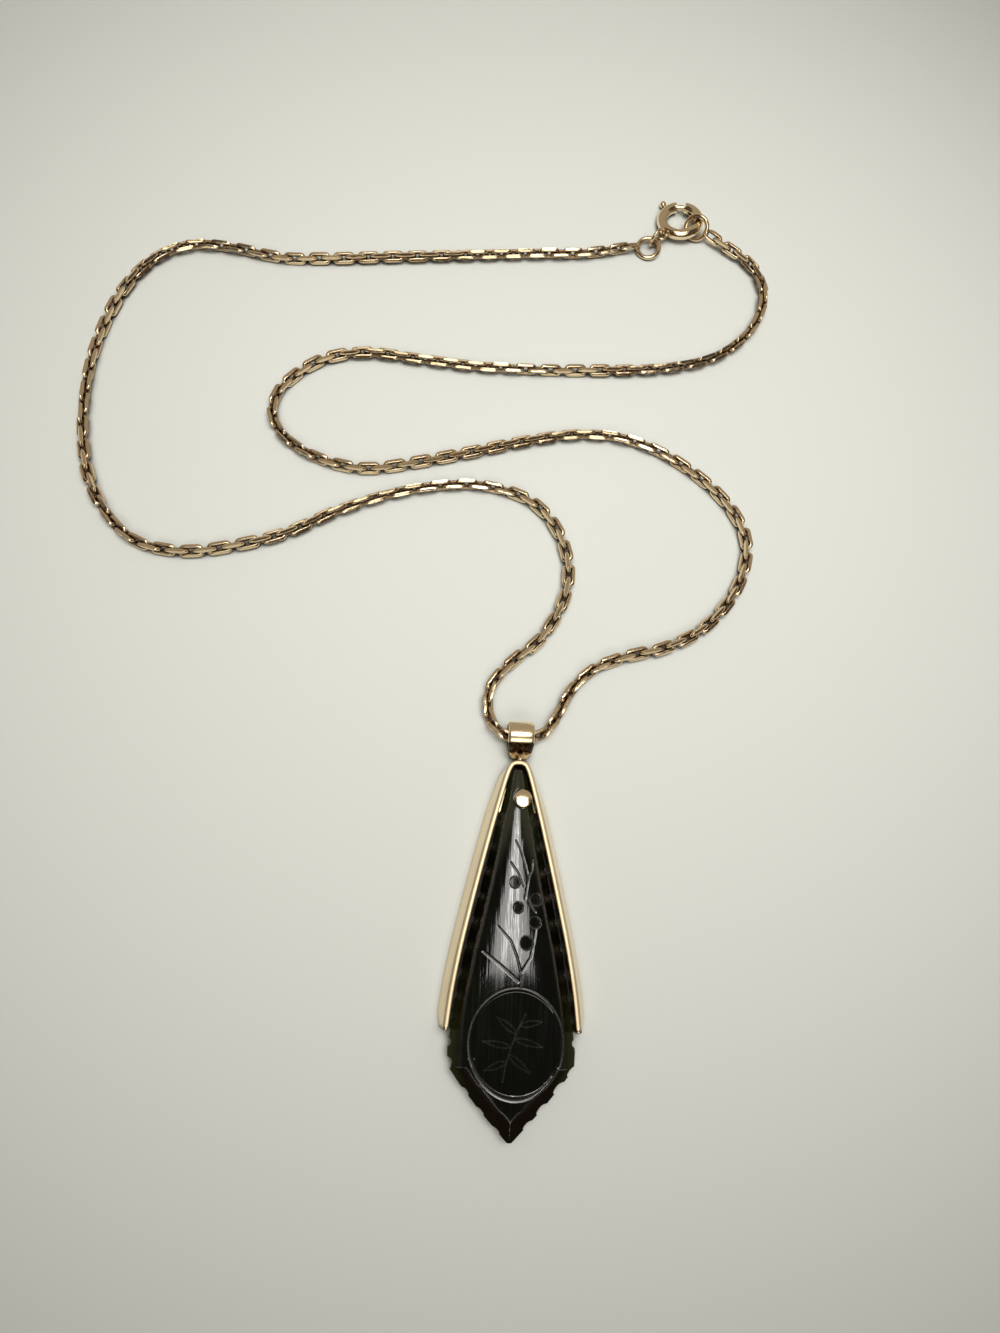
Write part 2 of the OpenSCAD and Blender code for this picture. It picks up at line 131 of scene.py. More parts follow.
# The rail's inner wall, painted dark as shade: depth below its top, and tone
INNER_WALL = [(FRAME_HEIGHT, 1), (0.5, 1), (0.18, 0.7)]
# The rail's crown: distance out from its middle, depth below its top, and tone.
# Its outer edge is painted dark as a shadow line between rail and slope
CROWN = [(-0.28, 0.07, 0.2), (-0.23, 0.02, -1), (-0.1, 0, -1), (0.1, 0.005, -1),
         (0.2, 0.03, -1), (0.26, 0.09, 0.1), (0.3, 0.2, 0.9), (0.34, 0.3, 0.9)]
CREASE = 0.36
SLOPE_STEPS = 11
SLOPE_BOW = 1.05
SLOPE_BELLY = 0.8
SLOPE_SHADOW_LINE = 0.5
SLOPE_SHADOW_LINE_FADE = 8
FLARE = 0.95
FLARE_APEX = (0.1, 2.9)
FLARE_SHOULDER = (0.6, 15.0)
SHEET = 0.42
SHEET_CLEAR = 0.04
UNDERSIDE = 0.86
APEX_RING_MIDDLE = 1.08
APEX_RING_WIRE = 0.21
APEX_RING_PLACE = (0.15, 0.45, 1.32)
APEX_RING_TUCK = 18.0
STRAP_TOP = (2.1, -3.1)
STRAP_BOTTOM = (2.8, -6.1)
STRAP_THICKNESS = 0.45
FOOT_LENGTH = 1.8
FOOT_NARROWING = 0.45
FOOT_PAINTED_SHADE = (0.5, 0.1)
NOTCH_GLINT = 0.4

# Bail
BAIL_WIDTH = 3.4
BAIL_RADIUS = 2.05
BAIL_WALL = 0.6
BAIL_MIDDLE = (3.6, 2.07)
BAIL_TIP = (0.95, 1.2)
BAIL_TIP_RADIUS = 0.3
BAIL_INSIDE_TIP = (2.3, 1.3)
BAIL_HOLE_Y = 1.48
BAIL_HOLE_RADIUS = 0.28
BAIL_DRILL = (-1.0, 5.0)
BAIL_TAPER_Y = 2.7
BAIL_TIP_WIDTH = 2.8
BAIL_ROUND_Y = 1.3
BAIL_END_Y = 0.65
BAIL_ROUNDING = 0.6
BAIL_EDGE = 0.34
BAIL_INNER_EDGE = 0.14
BAIL_SHIFT = 0.15
BAIL_BARREL = 0.22
BAIL_CORNER_STEPS = 6
BAIL_SATIN = 0.3
# Where the band's outside is painted dark, as a painted dark reflection where it turns down
BAIL_DARK_REFLECTION_UPPER = (2.66, 2.46)
BAIL_DARK_REFLECTION_LOWER = (1.05, 1.25)
BAIL_DARK_REFLECTION_ABOVE = 1.0

# Stud
STUD = (0.65, -4.6)
STUD_RADIUS = 1.15
STUD_SEAT = 2.45
STUD_TOP = 3.1
STUD_FLAT = 1.1
STUD_DOME = 0.12
STUD_TILT = 0.07
STUD_PIN = 0.5
STUD_PIN_BOTTOM = 0.02
STUD_HEAD_BOTTOM = STUD_SEAT + 0.1
STUD_SHOULDER = STUD_TOP - 0.2
STUD_BEVEL = 0.06
STUD_CLEARANCE = 0.1

# Stone: y and half width down its axis
STONE = [(-0.9, 0.45), (-1.7, 1.05), (-3.6, 1.5), (-13.5, 3.75), (-23, 5.9),
         (-30.7, 7.15), (-34.3, 7.55), (-36.1, 7.45), (-38, 5.95), (-40.8, 3.5), (-44.1, 0.25)]
STONE_BACK = 0.6
STONE_EDGE_HEIGHT = 1.9
STONE_LIP_OUT = 0.06
STONE_LIP_DOWN = 0.1
# The faint painted highlight along the stone's edge lip
STONE_LIP_HIGHLIGHT = 0.1
STONE_ROWS = 500
STONE_MIDDLE_STEPS = 130
# The finer bands along both edges: their steps, greatest width, and greatest share of the half width
STONE_BAND_STEPS = 14
STONE_BAND = 1.6
STONE_BAND_SHARE = 0.45
STONE_RIDGE_Y = -24.7
STONE_RIDGE = 3.6
STONE_LONG_RADIUS = 220.0
STONE_DOME = 0.9
STONE_DOME_HALF = 1.8
BEVEL_SLOPE = 42.0
TIP_BEVEL_EASING = 12.0
TIP_BEVEL_FROM_TO = (-28, -36)
TOP_RISE_FROM_TO = (-7, -4)
# The crest between the dome and the bevels: how softly it turns, how strong its painted highlight is and
# how wide
CREST_SOFT = 0.12
CREST_HIGHLIGHT = 0.35
CREST_WIDTH = 0.08
# Down to the tip the crest turns more sharply and its painted highlight is weaker, by these
TIP_FROM_TO = (-26, -34)
TIP_SHARPER = 0.08
TIP_LESS_HIGHLIGHT = 0.25
# Where the stone is painted lighter, as light shining through it: its edges, from and to a share of the
# half width, and its top
GLOW_EDGE = (0.78, 1.02)
GLOW_BEGINS = (-24, -34)
GLOW_ENDS = (-39, -36.5)
GLOW_TOP = (-13, -5)
GLOW_TOP_SHARE = 0.7
CALM_TIP = (-38, -40)

# Carving: dots as x, y and radius
DOTS = [(-0.2, -15.0, 0.75), (0.3, -18.0, 0.72), (2.5, -17.0, 0.75), (2.4, -19.7, 0.72),
        (1.4, -22.1, 0.85)]
DOT_DEPTH = 0.14
DOT_TILT = 0.17
DOT_WALL = 0.08
DOT_RIM = (0.5, 0.06)
DOT_MATT = 0.1
STEMS = [
    [(1.1, -16.9), (1.5, -14.4), (1.0, -12.7), (0.4, -10.9), (-0.2, -9.9)],
    [(0.9, -15.4), (0.2, -13.8), (-0.8, -12.6)],
    [(1.4, -14.6), (1.9, -13.5), (2.0, -12.1)],
    [(1.6, -17.5), (2.4, -18.5)],
    [(2.5, -20.5), (2.1, -22.9), (1.9, -23.8), (0.9, -25.4)],
    [(-2.1, -20.3), (-0.5, -21.9), (0.3, -23.8), (0.8, -25.7), (0.8, -27.3)],
    [(-3.8, -23.2), (-1.7, -24.7), (0.5, -26.5)]]
SPRIG_STEM = [(-1.0, -37.6), (-0.7, -35.8), (-0.1, -33.8), (0.6, -31.9), (1.5, -30.1)]
# Leaves of the sprig: where each leaves the stem, and its point
SPRIG_LEAVES = [((-0.6, -35.4), (-3.2, -36.4)), ((-0.1, -33.8), (-3.5, -33.2)),
                ((0.5, -32.3), (-1.9, -30.5)), ((-0.4, -34.6), (2.2, -36.6)),
                ((0.3, -32.9), (3.6, -33.7)), ((0.9, -31.4), (3.5, -30.9))]
LEAF_HALF_WIDTH = 0.32
LEAF_FULLNESS = 0.8
# Cuts: depth, tone and half width
STEM_CUT = (0.06, 0.5, 0.09)
SPRIG_CUT = (0.012, 0.3, 0.07)
LEAF_CUT = (0.01, 0.22, 0.06)
CUT_MARGIN = 0.6
OVAL = (0.45, -33.4)
OVAL_HALF = (5.63, 6.13)
OVAL_WALL = (1.0, 0.93)
OVAL_DROP = 0.65
# The line round the oval: depth and its half width, tone and its half width, about a mean radius
OVAL_CUT = (0.05, 0.11)
OVAL_RIM = (0.55, 0.1)
OVAL_MEAN = 6.0
DISH_TILT = 0.05
# Notches down each edge: place, depth, and how far each reaches up and down
NOTCH = (0.27, 0.4, 0.4)
UPPER_NOTCHES = [-7.2, -10.3, -13.4, -16.5, -19.6, -22.7, -25.7, -28.3, -30.8]
LOWER_NOTCHES = {
    -1: [(-33.5, *NOTCH), (-35.5, 0.5, 0.4, 0.9), (-38.6, 0.3, 0.3, 0.6),
         (-40.7, 0.28, 0.3, 0.6), (-42.7, 0.25, 0.3, 0.5)],
    1: [(-33.4, *NOTCH), (-36.2, 0.4, 0.3, 0.8), (-37.9, 0.55, 0.35, 1.0),
        (-40.2, 0.5, 0.3, 0.9), (-42.0, 0.4, 0.3, 0.7)]}
STONE_LEAST_HALF = 0.2

# Gold: the colour and its darker patches, then the two dark colours of dirt and painted shade,
# in its crevices and where its tone is high
CHAIN_GOLD = ((0.77, 0.62, 0.41, 1.0), (0.64, 0.46, 0.28, 1.0))
POLISHED_GOLD = ((0.84, 0.70, 0.47, 1.0), (0.76, 0.59, 0.38, 1.0))
SHADE_AND_DIRT = (0.026, 0.012, 0.005, 1.0)
RUSTY_SHADE_AND_DIRT = (0.12, 0.038, 0.015, 1.0)
# Noise: how many cells for each metre, how detailed and how rough, or the cells along each axis
PATCHES = (260.0, 4.0)
GRAIN = (2600.0, 5.0, 0.7)
RUST_PATCHES = (330.0, 2.0)
DENTS = (1400.0, 2.0)
SCRATCHES = (900.0, 5200.0, 3600.0)
# How far the painted shade and dirt reach into the gold's crevices
CREVICE = 0.0005
SHADE_AND_DIRT_DULLNESS = 0.3
SATIN_DULLNESS = 0.34

# Jade: the body's two colours, its painted glow where light shines through thin edges and the top,
# and the pale colour of its ground lines and painted highlights
JADE_DARK = (0.0012, 0.0014, 0.0006, 1.0)
JADE_GREEN = (0.0036, 0.0048, 0.0018, 1.0)
JADE_PAINTED_GLOW = (0.016, 0.019, 0.005, 1.0)
JADE_GROUND_AND_HIGHLIGHT = (0.095, 0.10, 0.085, 1.0)
JADE_IOR = 1.7
JADE_CLOUD = (180.0, 5.0, 0.6)
JADE_GRAIN = (5200.0, 3.0)
JADE_STREAKS = (2600.0, 130.0, 300.0)
GROUND_DULLNESS = 0.4
MATT_DULLNESS = 0.08

# Room: the far wall, the front, the bright window and the dark ceiling, as how far a direction leans
# along X and along Y, how soft the zone's edge is, and its colour
SKY_SIDES = (0.12, 0.092, 0.066, 1.0)
SKY_ZONES = [
    ((-120, 120), (16, 120), 8, (0.38, 0.33, 0.26, 1.0)),
    ((-120, 120), (-120, -34), 6, (0.07, 0.042, 0.028, 1.0)),
    ((-24, 28), (-57, -30), 3, (2.55, 2.46, 2.20, 1.0)),
    ((-42, 48), (-27, 16), 4, (0.05, 0.046, 0.04, 1.0))]
HORIZON = 90
LEAST_HEIGHT = 0.01
# Soft panels: place and size in metres, watts, and whether polished pieces reflect it
PANELS = [
    ((0.030, 0.015, 0.40), (0.22, 0.17), 0.50, True),
    ((-0.006, 0.015, 0.398), (0.018, 0.17), 0.11, True),
    ((0.058, 0.015, 0.398), (0.012, 0.17), 0.08, True),
    ((0.150, 0.020, 0.36), (0.16, 0.16), 0.36, False)]
PANEL_COLOUR = (1.0, 0.98, 0.93)

# Floor
FLOOR_HALF = 1.5
FLOOR_COLOUR = (0.96, 1.0, 0.98, 1.0)
FLOOR_ROUGHNESS = 0.7
FLOOR_PAINTED_MIDDLE = 0.862
# How the painted light on the floor falls off with the distance in metres, and with its square, along X
# and Y
FLOOR_PAINTED_FALLOFF = [(0.225, -22.4), (1.35, -22.4)]
FLOOR_PAINTED_LEAST = 0.42
FLOOR_PAINTED_MOST = 0.9
BLACK = (0.0, 0.0, 0.0, 1.0)
# Painted contact shade on the floor under the chain, and how far it reaches
PAINTED_CONTACT_SHADE = (0.025, 0.014, 0.008, 1.0)
PAINTED_CONTACT_SHADE_REACH = 0.002


def unit(vectors):
    """The same directions with length one."""
    vectors = np.asarray(vectors, float)
    return vectors / np.linalg.norm(vectors, axis=-1, keepdims=True)


def smooth(low, high, values):
    """Rises smoothly from 0 at low to 1 at high."""
    share = np.clip((np.asarray(values, float) - low) / (high - low), 0, 1)
    return share * share * (3 - 2 * share)


def bell(distance, reach):
    """1 on a line, falling smoothly beside it."""
    return np.exp(-(distance / reach) ** 2)


def turn(axis, degrees):
    """A rotation about the x, y or z axis as a 3 by 3 array."""
    return np.array(Matrix.Rotation(math.radians(degrees), 3, axis))


class Shell:
    """Points in millimetres, faces between them, and each point's tone, which paints dirt, shade, ground
    lines and highlights.
    """

    def __init__(self, points, faces, tone=None):
        self.points = np.asarray(points, float).reshape(-1, 3)
        self.faces = [tuple(int(i) for i in face) for face in faces]
        self.tone = np.zeros(len(self.points)) if tone is None else np.asarray(tone, float).ravel()

    def moved(self, rotation, place):
        """The same shell, turned and then moved."""
        return Shell(self.points @ np.asarray(rotation).T + np.asarray(place), self.faces, self.tone)


def fused(shells):
    """Several shells as one."""
    faces, start = [], 0
    for shell in shells:
        faces += [tuple(i + start for i in face) for face in shell.faces]
        start += len(shell.points)
    return Shell(np.concatenate([shell.points for shell in shells]), faces,
                 np.concatenate([shell.tone for shell in shells]))


def skin(grid, wrap=False, caps=False, tone=None):
    """A shell over closed rows of points, whose ends are joined to each other or capped if asked."""
    rows, columns = grid.shape[:2]
    index = np.arange(rows * columns).reshape(rows, columns)
    here = index if wrap else index[:-1]
    down = np.roll(index, -1, 0) if wrap else index[1:]
    corners = [here, np.roll(here, -1, 1), np.roll(down, -1, 1), down]
    faces = np.stack(corners, -1).reshape(-1, 4).tolist()
    if caps:
        faces.append(index[0][::-1].tolist())
        faces.append(index[-1].tolist())
    return Shell(grid, faces, tone)


def circle(radius, count):
    """Points round a circle, as out and up."""
    angles = np.arange(count) * 2 * np.pi / count
    return np.stack([radius * np.cos(angles), radius * np.sin(angles)], -1)


def sweep(centres, outs, ups, section, wrap=False, caps=False, tone=None):
    """A section carried along a line of centres: its first number goes out, its second up."""
    section = np.broadcast_to(section, (len(centres),) + section.shape[-2:])
    outs, ups = np.broadcast_to(outs, centres.shape), np.broadcast_to(ups, centres.shape)
    grid = (centres[:, None, :] + section[..., :1] * outs[:, None, :]
            + section[..., 1:] * ups[:, None, :])
    return skin(grid, wrap, caps, tone)


def lathed(axis, places, radii, sides):
    """A closed round solid about an axis through the origin, with a radius at each place along it."""
    ahead, out, up = np.roll(NO_TURN, -axis, 0)
    sections = np.stack([circle(radius, sides) for radius in radii])
    return sweep(np.outer(places, ahead), out, up, sections, caps=True)


def ball(axis, radius, rows, sides, tip):
    """A ball about the origin. The tip sets how small its two flat ends are."""
    heights = np.linspace(-1, 1, rows)
    return lathed(axis, heights * radius, radius * np.sqrt(np.clip(1 - heights ** 2, tip, 1)), sides)


def arc_frame(radius, angles):
    """Centres, outward directions and the upward direction along an arc about Z."""
    angles = np.radians(angles)
    outs = np.stack([np.cos(angles), np.sin(angles), np.zeros_like(angles)], -1)
    return radius * outs, outs, NO_TURN[Z]


def torus(middle, wire, around=96, about=24):
    """A round ring about Z."""
    angles = np.arange(around) * 360.0 / around
    return sweep(*arc_frame(middle, angles), circle(wire, about), wrap=True)


def arc_solid(middle, section, start, end, steps):
    """A section swept along part of a ring about Z, closed at both ends."""
    return sweep(*arc_frame(middle, np.linspace(start, end, steps)), section, caps=True)


# Objects

def face_outwards(mesh):
    """Turns the faces of closed shells to the outside."""
    work = bmesh.new()
    work.from_mesh(mesh)
    bmesh.ops.recalc_face_normals(work, faces=work.faces)
    work.to_mesh(mesh)
    work.free()


def set_values(mesh, name, values):
    """Stores a number for each point of a mesh."""
    attribute = mesh.attributes.get(name) or mesh.attributes.new(name, "FLOAT", "POINT")
    attribute.data.foreach_set("value", np.asarray(values, np.float32).ravel())


def tone_from(made, shell):
    """Gives each point of an object that was cut the tone of the nearest point of its first shell."""
    tree = KDTree(len(shell.points))
    for index, point in enumerate(shell.points * MM):
        tree.insert(point, index)
    tree.balance()
    nearest = [tree.find(vertex.co)[1] for vertex in made.data.vertices]
    set_values(made.data, "tone", shell.tone[nearest])


def make_object(name, shell, sharp=35.0):
    """The object for a shell, in metres, smooth but for edges sharper than the angle given."""
    mesh = bpy.data.meshes.new(name)
    mesh.from_pydata((shell.points * MM).tolist(), [], shell.faces)
    mesh.validate()
    face_outwards(mesh)
    set_values(mesh, "tone", shell.tone)
    mesh.shade_smooth()
    mesh.set_sharp_from_angle(angle=math.radians(sharp))
    made = bpy.data.objects.new(name, mesh)
    bpy.context.scene.collection.objects.link(made)
    return made


def in_pendant(shell):
    """A shell made about the pendant's own axis, put where the pendant lies."""
    return shell.moved(turn("Z", PENDANT_TURN), PENDANT)


def settle(made, material, body, slot, *nodes):
    """Gives a piece its material and its CAD body, and hides the nodes that it stands for. The slot is
    not used.
    """
    made.data.materials.append(material)
    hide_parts(*nodes)
    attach(made, body)


def boolean(target, cutter, operation):
    """Cuts one object by another, or joins it to another, and removes the other."""
    change = target.modifiers.new("cut", "BOOLEAN")
    change.operation = operation
    change.object = cutter
    change.solver = "EXACT"
    graph = bpy.context.evaluated_depsgraph_get()
    mesh = bpy.data.meshes.new_from_object(target.evaluated_get(graph))
    target.modifiers.clear()
    target.data = mesh
    bpy.data.objects.remove(cutter)


# Materials

class Nodes:
    """Short ways to add and join the nodes of one material or world."""

    def __init__(self, tree):
        self.tree = tree
        tree.nodes.clear()

    def add(self, kind, **settings):
        """A node of that kind, with its settings, and numbers for its inputs by name."""
        node = self.tree.nodes.new(kind)
        inputs = settings.pop("inputs", {})
        for name, value in settings.items():
            setattr(node, name, value)
        for name, value in inputs.items():
            self.put(node.inputs[name], value)
        return node

    def put(self, socket, value):
        """Joins an output to a socket, or sets the socket's own number or colour."""
        if isinstance(value, bpy.types.NodeSocket):
            self.tree.links.new(value, socket)
        else:
            socket.default_value = value

    def number(self, name):
        """A number that the mesh holds for each point."""
        return self.add("ShaderNodeAttribute", attribute_name=name).outputs["Fac"]

    def noise(self, place, scale, detail, roughness=0.55):
        """Noise at that many cells for each metre, or for each unit where place is stretched."""
        node = self.add("ShaderNodeTexNoise", inputs={
            "Vector": place, "Scale": scale, "Detail": detail, "Roughness": roughness})
        return node.outputs["Fac"]

    def stretched(self, place, scale):
        """The place with each axis scaled by its own factor."""
        node = self.add("ShaderNodeMapping", inputs={"Vector": place, "Scale": scale})
        return node.outputs["Vector"]

    def ramp(self, value, low, high, start=0.0, end=1.0):
        """Value taken smoothly from low..high to start..end."""
        node = self.add("ShaderNodeMapRange", interpolation_type="SMOOTHSTEP", inputs={
            "Value": value, "From Min": low, "From Max": high, "To Min": start, "To Max": end})
        return node.outputs["Result"]

    def mix(self, share, first, second):
        """One colour going over to another."""
        node = self.add("ShaderNodeMix", data_type="RGBA")
        self.put(node.inputs[0], share)
        self.put(node.inputs[6], first)
        self.put(node.inputs[7], second)
        return node.outputs[2]

    def maths(self, operation, first, second):
        """One arithmetic step."""
        node = self.add("ShaderNodeMath", operation=operation)
        self.put(node.inputs[0], first)
        self.put(node.inputs[1], second)
        return node.outputs[0]

    def bump(self, height, strength):
        """The surface's direction over a relief in millimetres for each unit of height."""
        node = self.add("ShaderNodeBump", inputs={
            "Strength": strength, "Distance": MM, "Height": height})
        return node.outputs["Normal"]


def new_material(name):
    """An empty material and its nodes, with the places on the object as texture coordinates."""
    material = bpy.data.materials.new(name)
    material.use_nodes = True
    nodes = Nodes(material.node_tree)
    place = nodes.add("ShaderNodeTexCoord").outputs["Object"]
    return material, nodes, place


def finish_material(nodes, inputs):
    """Adds the shader with its inputs and joins it to the material's output."""
    shader = nodes.add("ShaderNodeBsdfPrincipled", inputs=inputs)
    output = nodes.add("ShaderNodeOutputMaterial")
    nodes.put(output.inputs["Surface"], shader.outputs[0])


def gold_material(name, colours, roughness, patch, dents, filed, open_from_to):
    """Old polished gold: warm patches, dark brown dirt and painted shade in the crevices and where the
    tone is high, fine scratches and shallow dents.
    """
    material, nodes, place = new_material(name)
    tone = nodes.number("tone")
    cloud = nodes.noise(place, *PATCHES)
    fine = nodes.noise(place, *GRAIN)
    scratches = nodes.noise(nodes.stretched(place, SCRATCHES), 1.0, 2.0)
    rusty = nodes.ramp(nodes.noise(place, *RUST_PATCHES), 0.46, 0.62)
    # Ambient occlusion paints the crevices dark brown: partly dirt, partly painted shade.
    crevice = nodes.add("ShaderNodeAmbientOcclusion", samples=4, inputs={"Distance": CREVICE})
    crevice_shade_and_dirt = nodes.ramp(crevice.outputs["AO"], *open_from_to, 1.0, 0.0)
    shade_and_dirt_mask = nodes.maths("MAXIMUM", crevice_shade_and_dirt, tone)
    darkening = nodes.maths("MULTIPLY", shade_and_dirt_mask, nodes.ramp(fine, 0.25, 0.6, 0.8, 1.0))
    warm = nodes.mix(nodes.ramp(cloud, 0.4, 0.65, 0.0, patch), *colours)
    tint = nodes.mix(darkening, warm, nodes.mix(rusty, SHADE_AND_DIRT, RUSTY_SHADE_AND_DIRT))
    clean = nodes.ramp(fine, 0.3, 0.7, roughness * 0.8, roughness * 1.35)
    dull = nodes.maths("ADD", clean, nodes.maths("MULTIPLY", darkening, SHADE_AND_DIRT_DULLNESS))
    satin = nodes.maths("MAXIMUM", nodes.maths("MULTIPLY", tone, -1.0), 0.0)
    dull = nodes.maths("ADD", dull, nodes.maths("MULTIPLY", satin, SATIN_DULLNESS))
    shallow = nodes.maths("MULTIPLY", nodes.noise(place, *DENTS), dents)
    relief = nodes.maths("ADD", shallow, nodes.maths("MULTIPLY", scratches, dents * filed))
    finish_material(nodes, {"Base Color": tint, "Metallic": 1.0, "Roughness": dull,
                            "Normal": nodes.bump(relief, 0.5)})
    return material


def jade_material():
    """Near-black green jade with painted light glowing through its thin edges, matt ground lines,
    painted highlights and polish streaks.
    """
    material, nodes, place = new_material("jade")
    ground, thin, matt, calm = [nodes.number(name) for name in ("tone", "thin", "matt", "calm")]
    cloud = nodes.noise(place, *JADE_CLOUD)
    streak = nodes.noise(nodes.stretched(place, JADE_STREAKS), 1.0, 3.0)
    fine = nodes.noise(place, *JADE_GRAIN)
    body = nodes.mix(nodes.ramp(cloud, 0.45, 0.7), JADE_DARK, JADE_GREEN)
    lit = nodes.mix(thin, body, JADE_PAINTED_GLOW)
    pale = nodes.maths("MULTIPLY", ground, nodes.ramp(fine, 0.3, 0.62, 0.1, 1.0))
    tint = nodes.mix(pale, lit, JADE_GROUND_AND_HIGHLIGHT)
    polish = nodes.ramp(streak, 0.35, 0.7, 0.05, 0.13)
    rough = nodes.maths("MAXIMUM", nodes.maths("MULTIPLY", ground, GROUND_DULLNESS),
                        nodes.maths("MULTIPLY", matt, MATT_DULLNESS))
    dull = nodes.maths("ADD", polish, rough)
    scored = nodes.maths("MULTIPLY", streak, nodes.ramp(calm, 0.0, 1.0, 0.016, 0.002))
    relief = nodes.maths("ADD", scored, nodes.maths("MULTIPLY", fine, 0.0008))
    finish_material(nodes, {"Base Color": tint, "Roughness": dull, "IOR": JADE_IOR,
                            "Normal": nodes.bump(relief, 1.0)})
    return material


# Chain

def link_path():
    """The middle line of a link's wire: a rounded rectangle, with its outward directions."""
    half_length = (LINK_LENGTH - WIRE) / 2
    points, outs = [], []
    corners = [(1, 1, 0), (-1, 1, 90), (-1, -1, 180), (1, -1, 270)]
    for x_side, y_side, start in corners:
        middle = np.array([x_side * (half_length - LINK_CORNER), y_side * (WIRE_MIDDLE - LINK_CORNER)])
        for step in range(LINK_CORNER_STEPS + 1):
            angle = math.radians(start + 90 * step / LINK_CORNER_STEPS)
            out = np.array([math.cos(angle), math.sin(angle)])
            points.append(middle + LINK_CORNER * out)
            outs.append(out)
        if start in (0, 180):
            first, run = points[-1], -2 * x_side * (half_length - LINK_CORNER)
            for step in range(1, LINK_SIDE_STEPS):
                points.append(first + np.array([run * step / LINK_SIDE_STEPS, 0]))
                outs.append(np.array([0.0, y_side]))
    flat = np.zeros((len(points), 1))
    return np.hstack([points, flat]), np.hstack([outs, flat])


def link_shell():
    """One link along X: round wire whose sides are filed flat at 45 degrees on all four sides."""
    centres, outs = link_path()
    angles = np.radians(LINK_SECTION + [180] + [360 - angle for angle in LINK_SECTION[:0:-1]])
    section = WIRE / 2 * np.stack([np.cos(angles), np.sin(angles)], -1)
    shell = sweep(centres, outs, NO_TURN[Z], section, wrap=True)
    points = shell.points
    level = np.hypot(points[:, Z], FILED_RIDGE) - FILED_RIDGE / 2
    excess = np.maximum(np.abs(points[:, Y]) + level - FILED_TO, 0) / 2
    points[:, Y] -= np.sign(points[:, Y]) * excess
    points[:, Z] -= np.sign(points[:, Z]) * excess
    points[:, Z] *= 1 - THINNER_END * smooth(*THINNER_FROM_TO, np.abs(points[:, X]))
    # The inner side's tone: dirt and painted shade where the links close round each other.
    shell.tone = INSIDE_TONE * smooth(*INSIDE_FROM_TO, np.tile(np.cos(angles), len(centres)))
    return shell


def tag_link(place, turns, towards, bead):
    """The link that is soldered to an end ring: it narrows to that end, where a bead of solder sits."""
    link = link_shell()
    link.points[:, Y] *= 1 - TAG_NARROWING * smooth(*TAG_FROM_TO, link.points[:, X] * towards)
    heading, climb, roll = turns
    link = link.moved(turn("Z", heading) @ turn("Y", climb) @ turn("X", roll), place)
    drop = ball(Z, BEAD, rows=17, sides=24, tip=0.001)
    return fused([link, drop.moved(NO_TURN, bead)])


def linked_groups(edges, count):
    """A number for each of count points, the same for points that edges link."""
    label = np.arange(count)
    while True:
        low = np.minimum(label[edges[:, 0]], label[edges[:, 1]])
        fresh = label.copy()
        np.minimum.at(fresh, edges[:, 0], low)
        np.minimum.at(fresh, edges[:, 1], low)
        if (fresh == label).all():
            return label
        label = fresh


def loose_parts(node):
    """The points of each separate solid of a CAD node, in millimetres."""
    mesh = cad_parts[node].data
    places = np.empty(len(mesh.vertices) * 3)
    mesh.vertices.foreach_get("co", places)
    places = places.reshape(-1, 3) / MM
    unique, weld = np.unique(np.round(places, 3), axis=0, return_inverse=True)
    edges = np.empty(len(mesh.edges) * 2, int)
    mesh.edges.foreach_get("vertices", edges)
    label = linked_groups(weld.ravel()[edges].reshape(-1, 2), len(unique))
    return [unique[label == name] for name in np.unique(label)]


def link_frame(points):
    """Where a packed link is: its middle, and its length, width and thickness directions."""
    middle = points.mean(0)
    _, axes = np.linalg.eigh(np.cov((points - middle).T))
    thick, wide, long = axes.T
    if np.dot(np.cross(long, wide), thick) < 0:
        thick = -thick
    return middle, np.stack([long, wide, thick], -1)


def resting_drop(axes):
    """How far a filed link lies lower than a packed one, whose edges aren't filed off."""
    return PACKED_HALF_WIRE * min(abs(axes[2, 1]), abs(axes[2, 2]))


def chain(name, material):
    """One half of the chain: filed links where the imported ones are."""
    template = link_shell()
    draws = np.random.default_rng(SEED)
    shells = []
    for points in loose_parts(name):
        middle, axes = link_frame(points)
        play = turn("X", draws.uniform(-LINK_ROLL_PLAY, LINK_ROLL_PLAY))
        shells.append(template.moved(axes @ play, middle - np.array([0, 0, resting_drop(axes)])))
    piece = make_object(name + "_links", fused(shells), sharp=45)
    settle(piece, material, "necklace", "chain_gold", name)


# Rings and clasp

def end_ring(name, turned, place, link, material):
    """An end ring with the last link soldered to it."""
    ring = torus(RING_MIDDLE, RING_WIRE).moved(turned, place)
    piece = make_object(name + "_wire", fused([ring, link]), sharp=30)
    settle(piece, material, "necklace", "chain_gold", name)


def end_rings(material):
    """The ring that leans on the connector ring, and the ring that the clasp holds."""
    end_ring("end_ring_left", turn("Z", CONNECTOR_HEADING) @ turn("Y", LEFT_RING_LEAN), LEFT_RING,
             tag_link(LEFT_TAG, LEFT_TAG_TURN, -1, LEFT_BEAD), material)
    end_ring("end_ring_right", turn("Z", CLASP_LEAN_HEADING) @ turn("X", RIGHT_RING_SLANT), RIGHT_RING,
             tag_link(RIGHT_TAG, RIGHT_TAG_TURN, 1, RIGHT_BEAD), material)


def connector_ring(material):
    """The thin ring on edge between the clasp's eye and the left end ring."""
    ring = torus(CONNECTOR_MIDDLE, CONNECTOR_WIRE).moved(
        turn("Z", CONNECTOR_HEADING) @ turn("X", 90), CONNECTOR)
    piece = make_object("connector_wire", ring)
    settle(piece, material, "necklace", "chain_gold", "connector_ring")


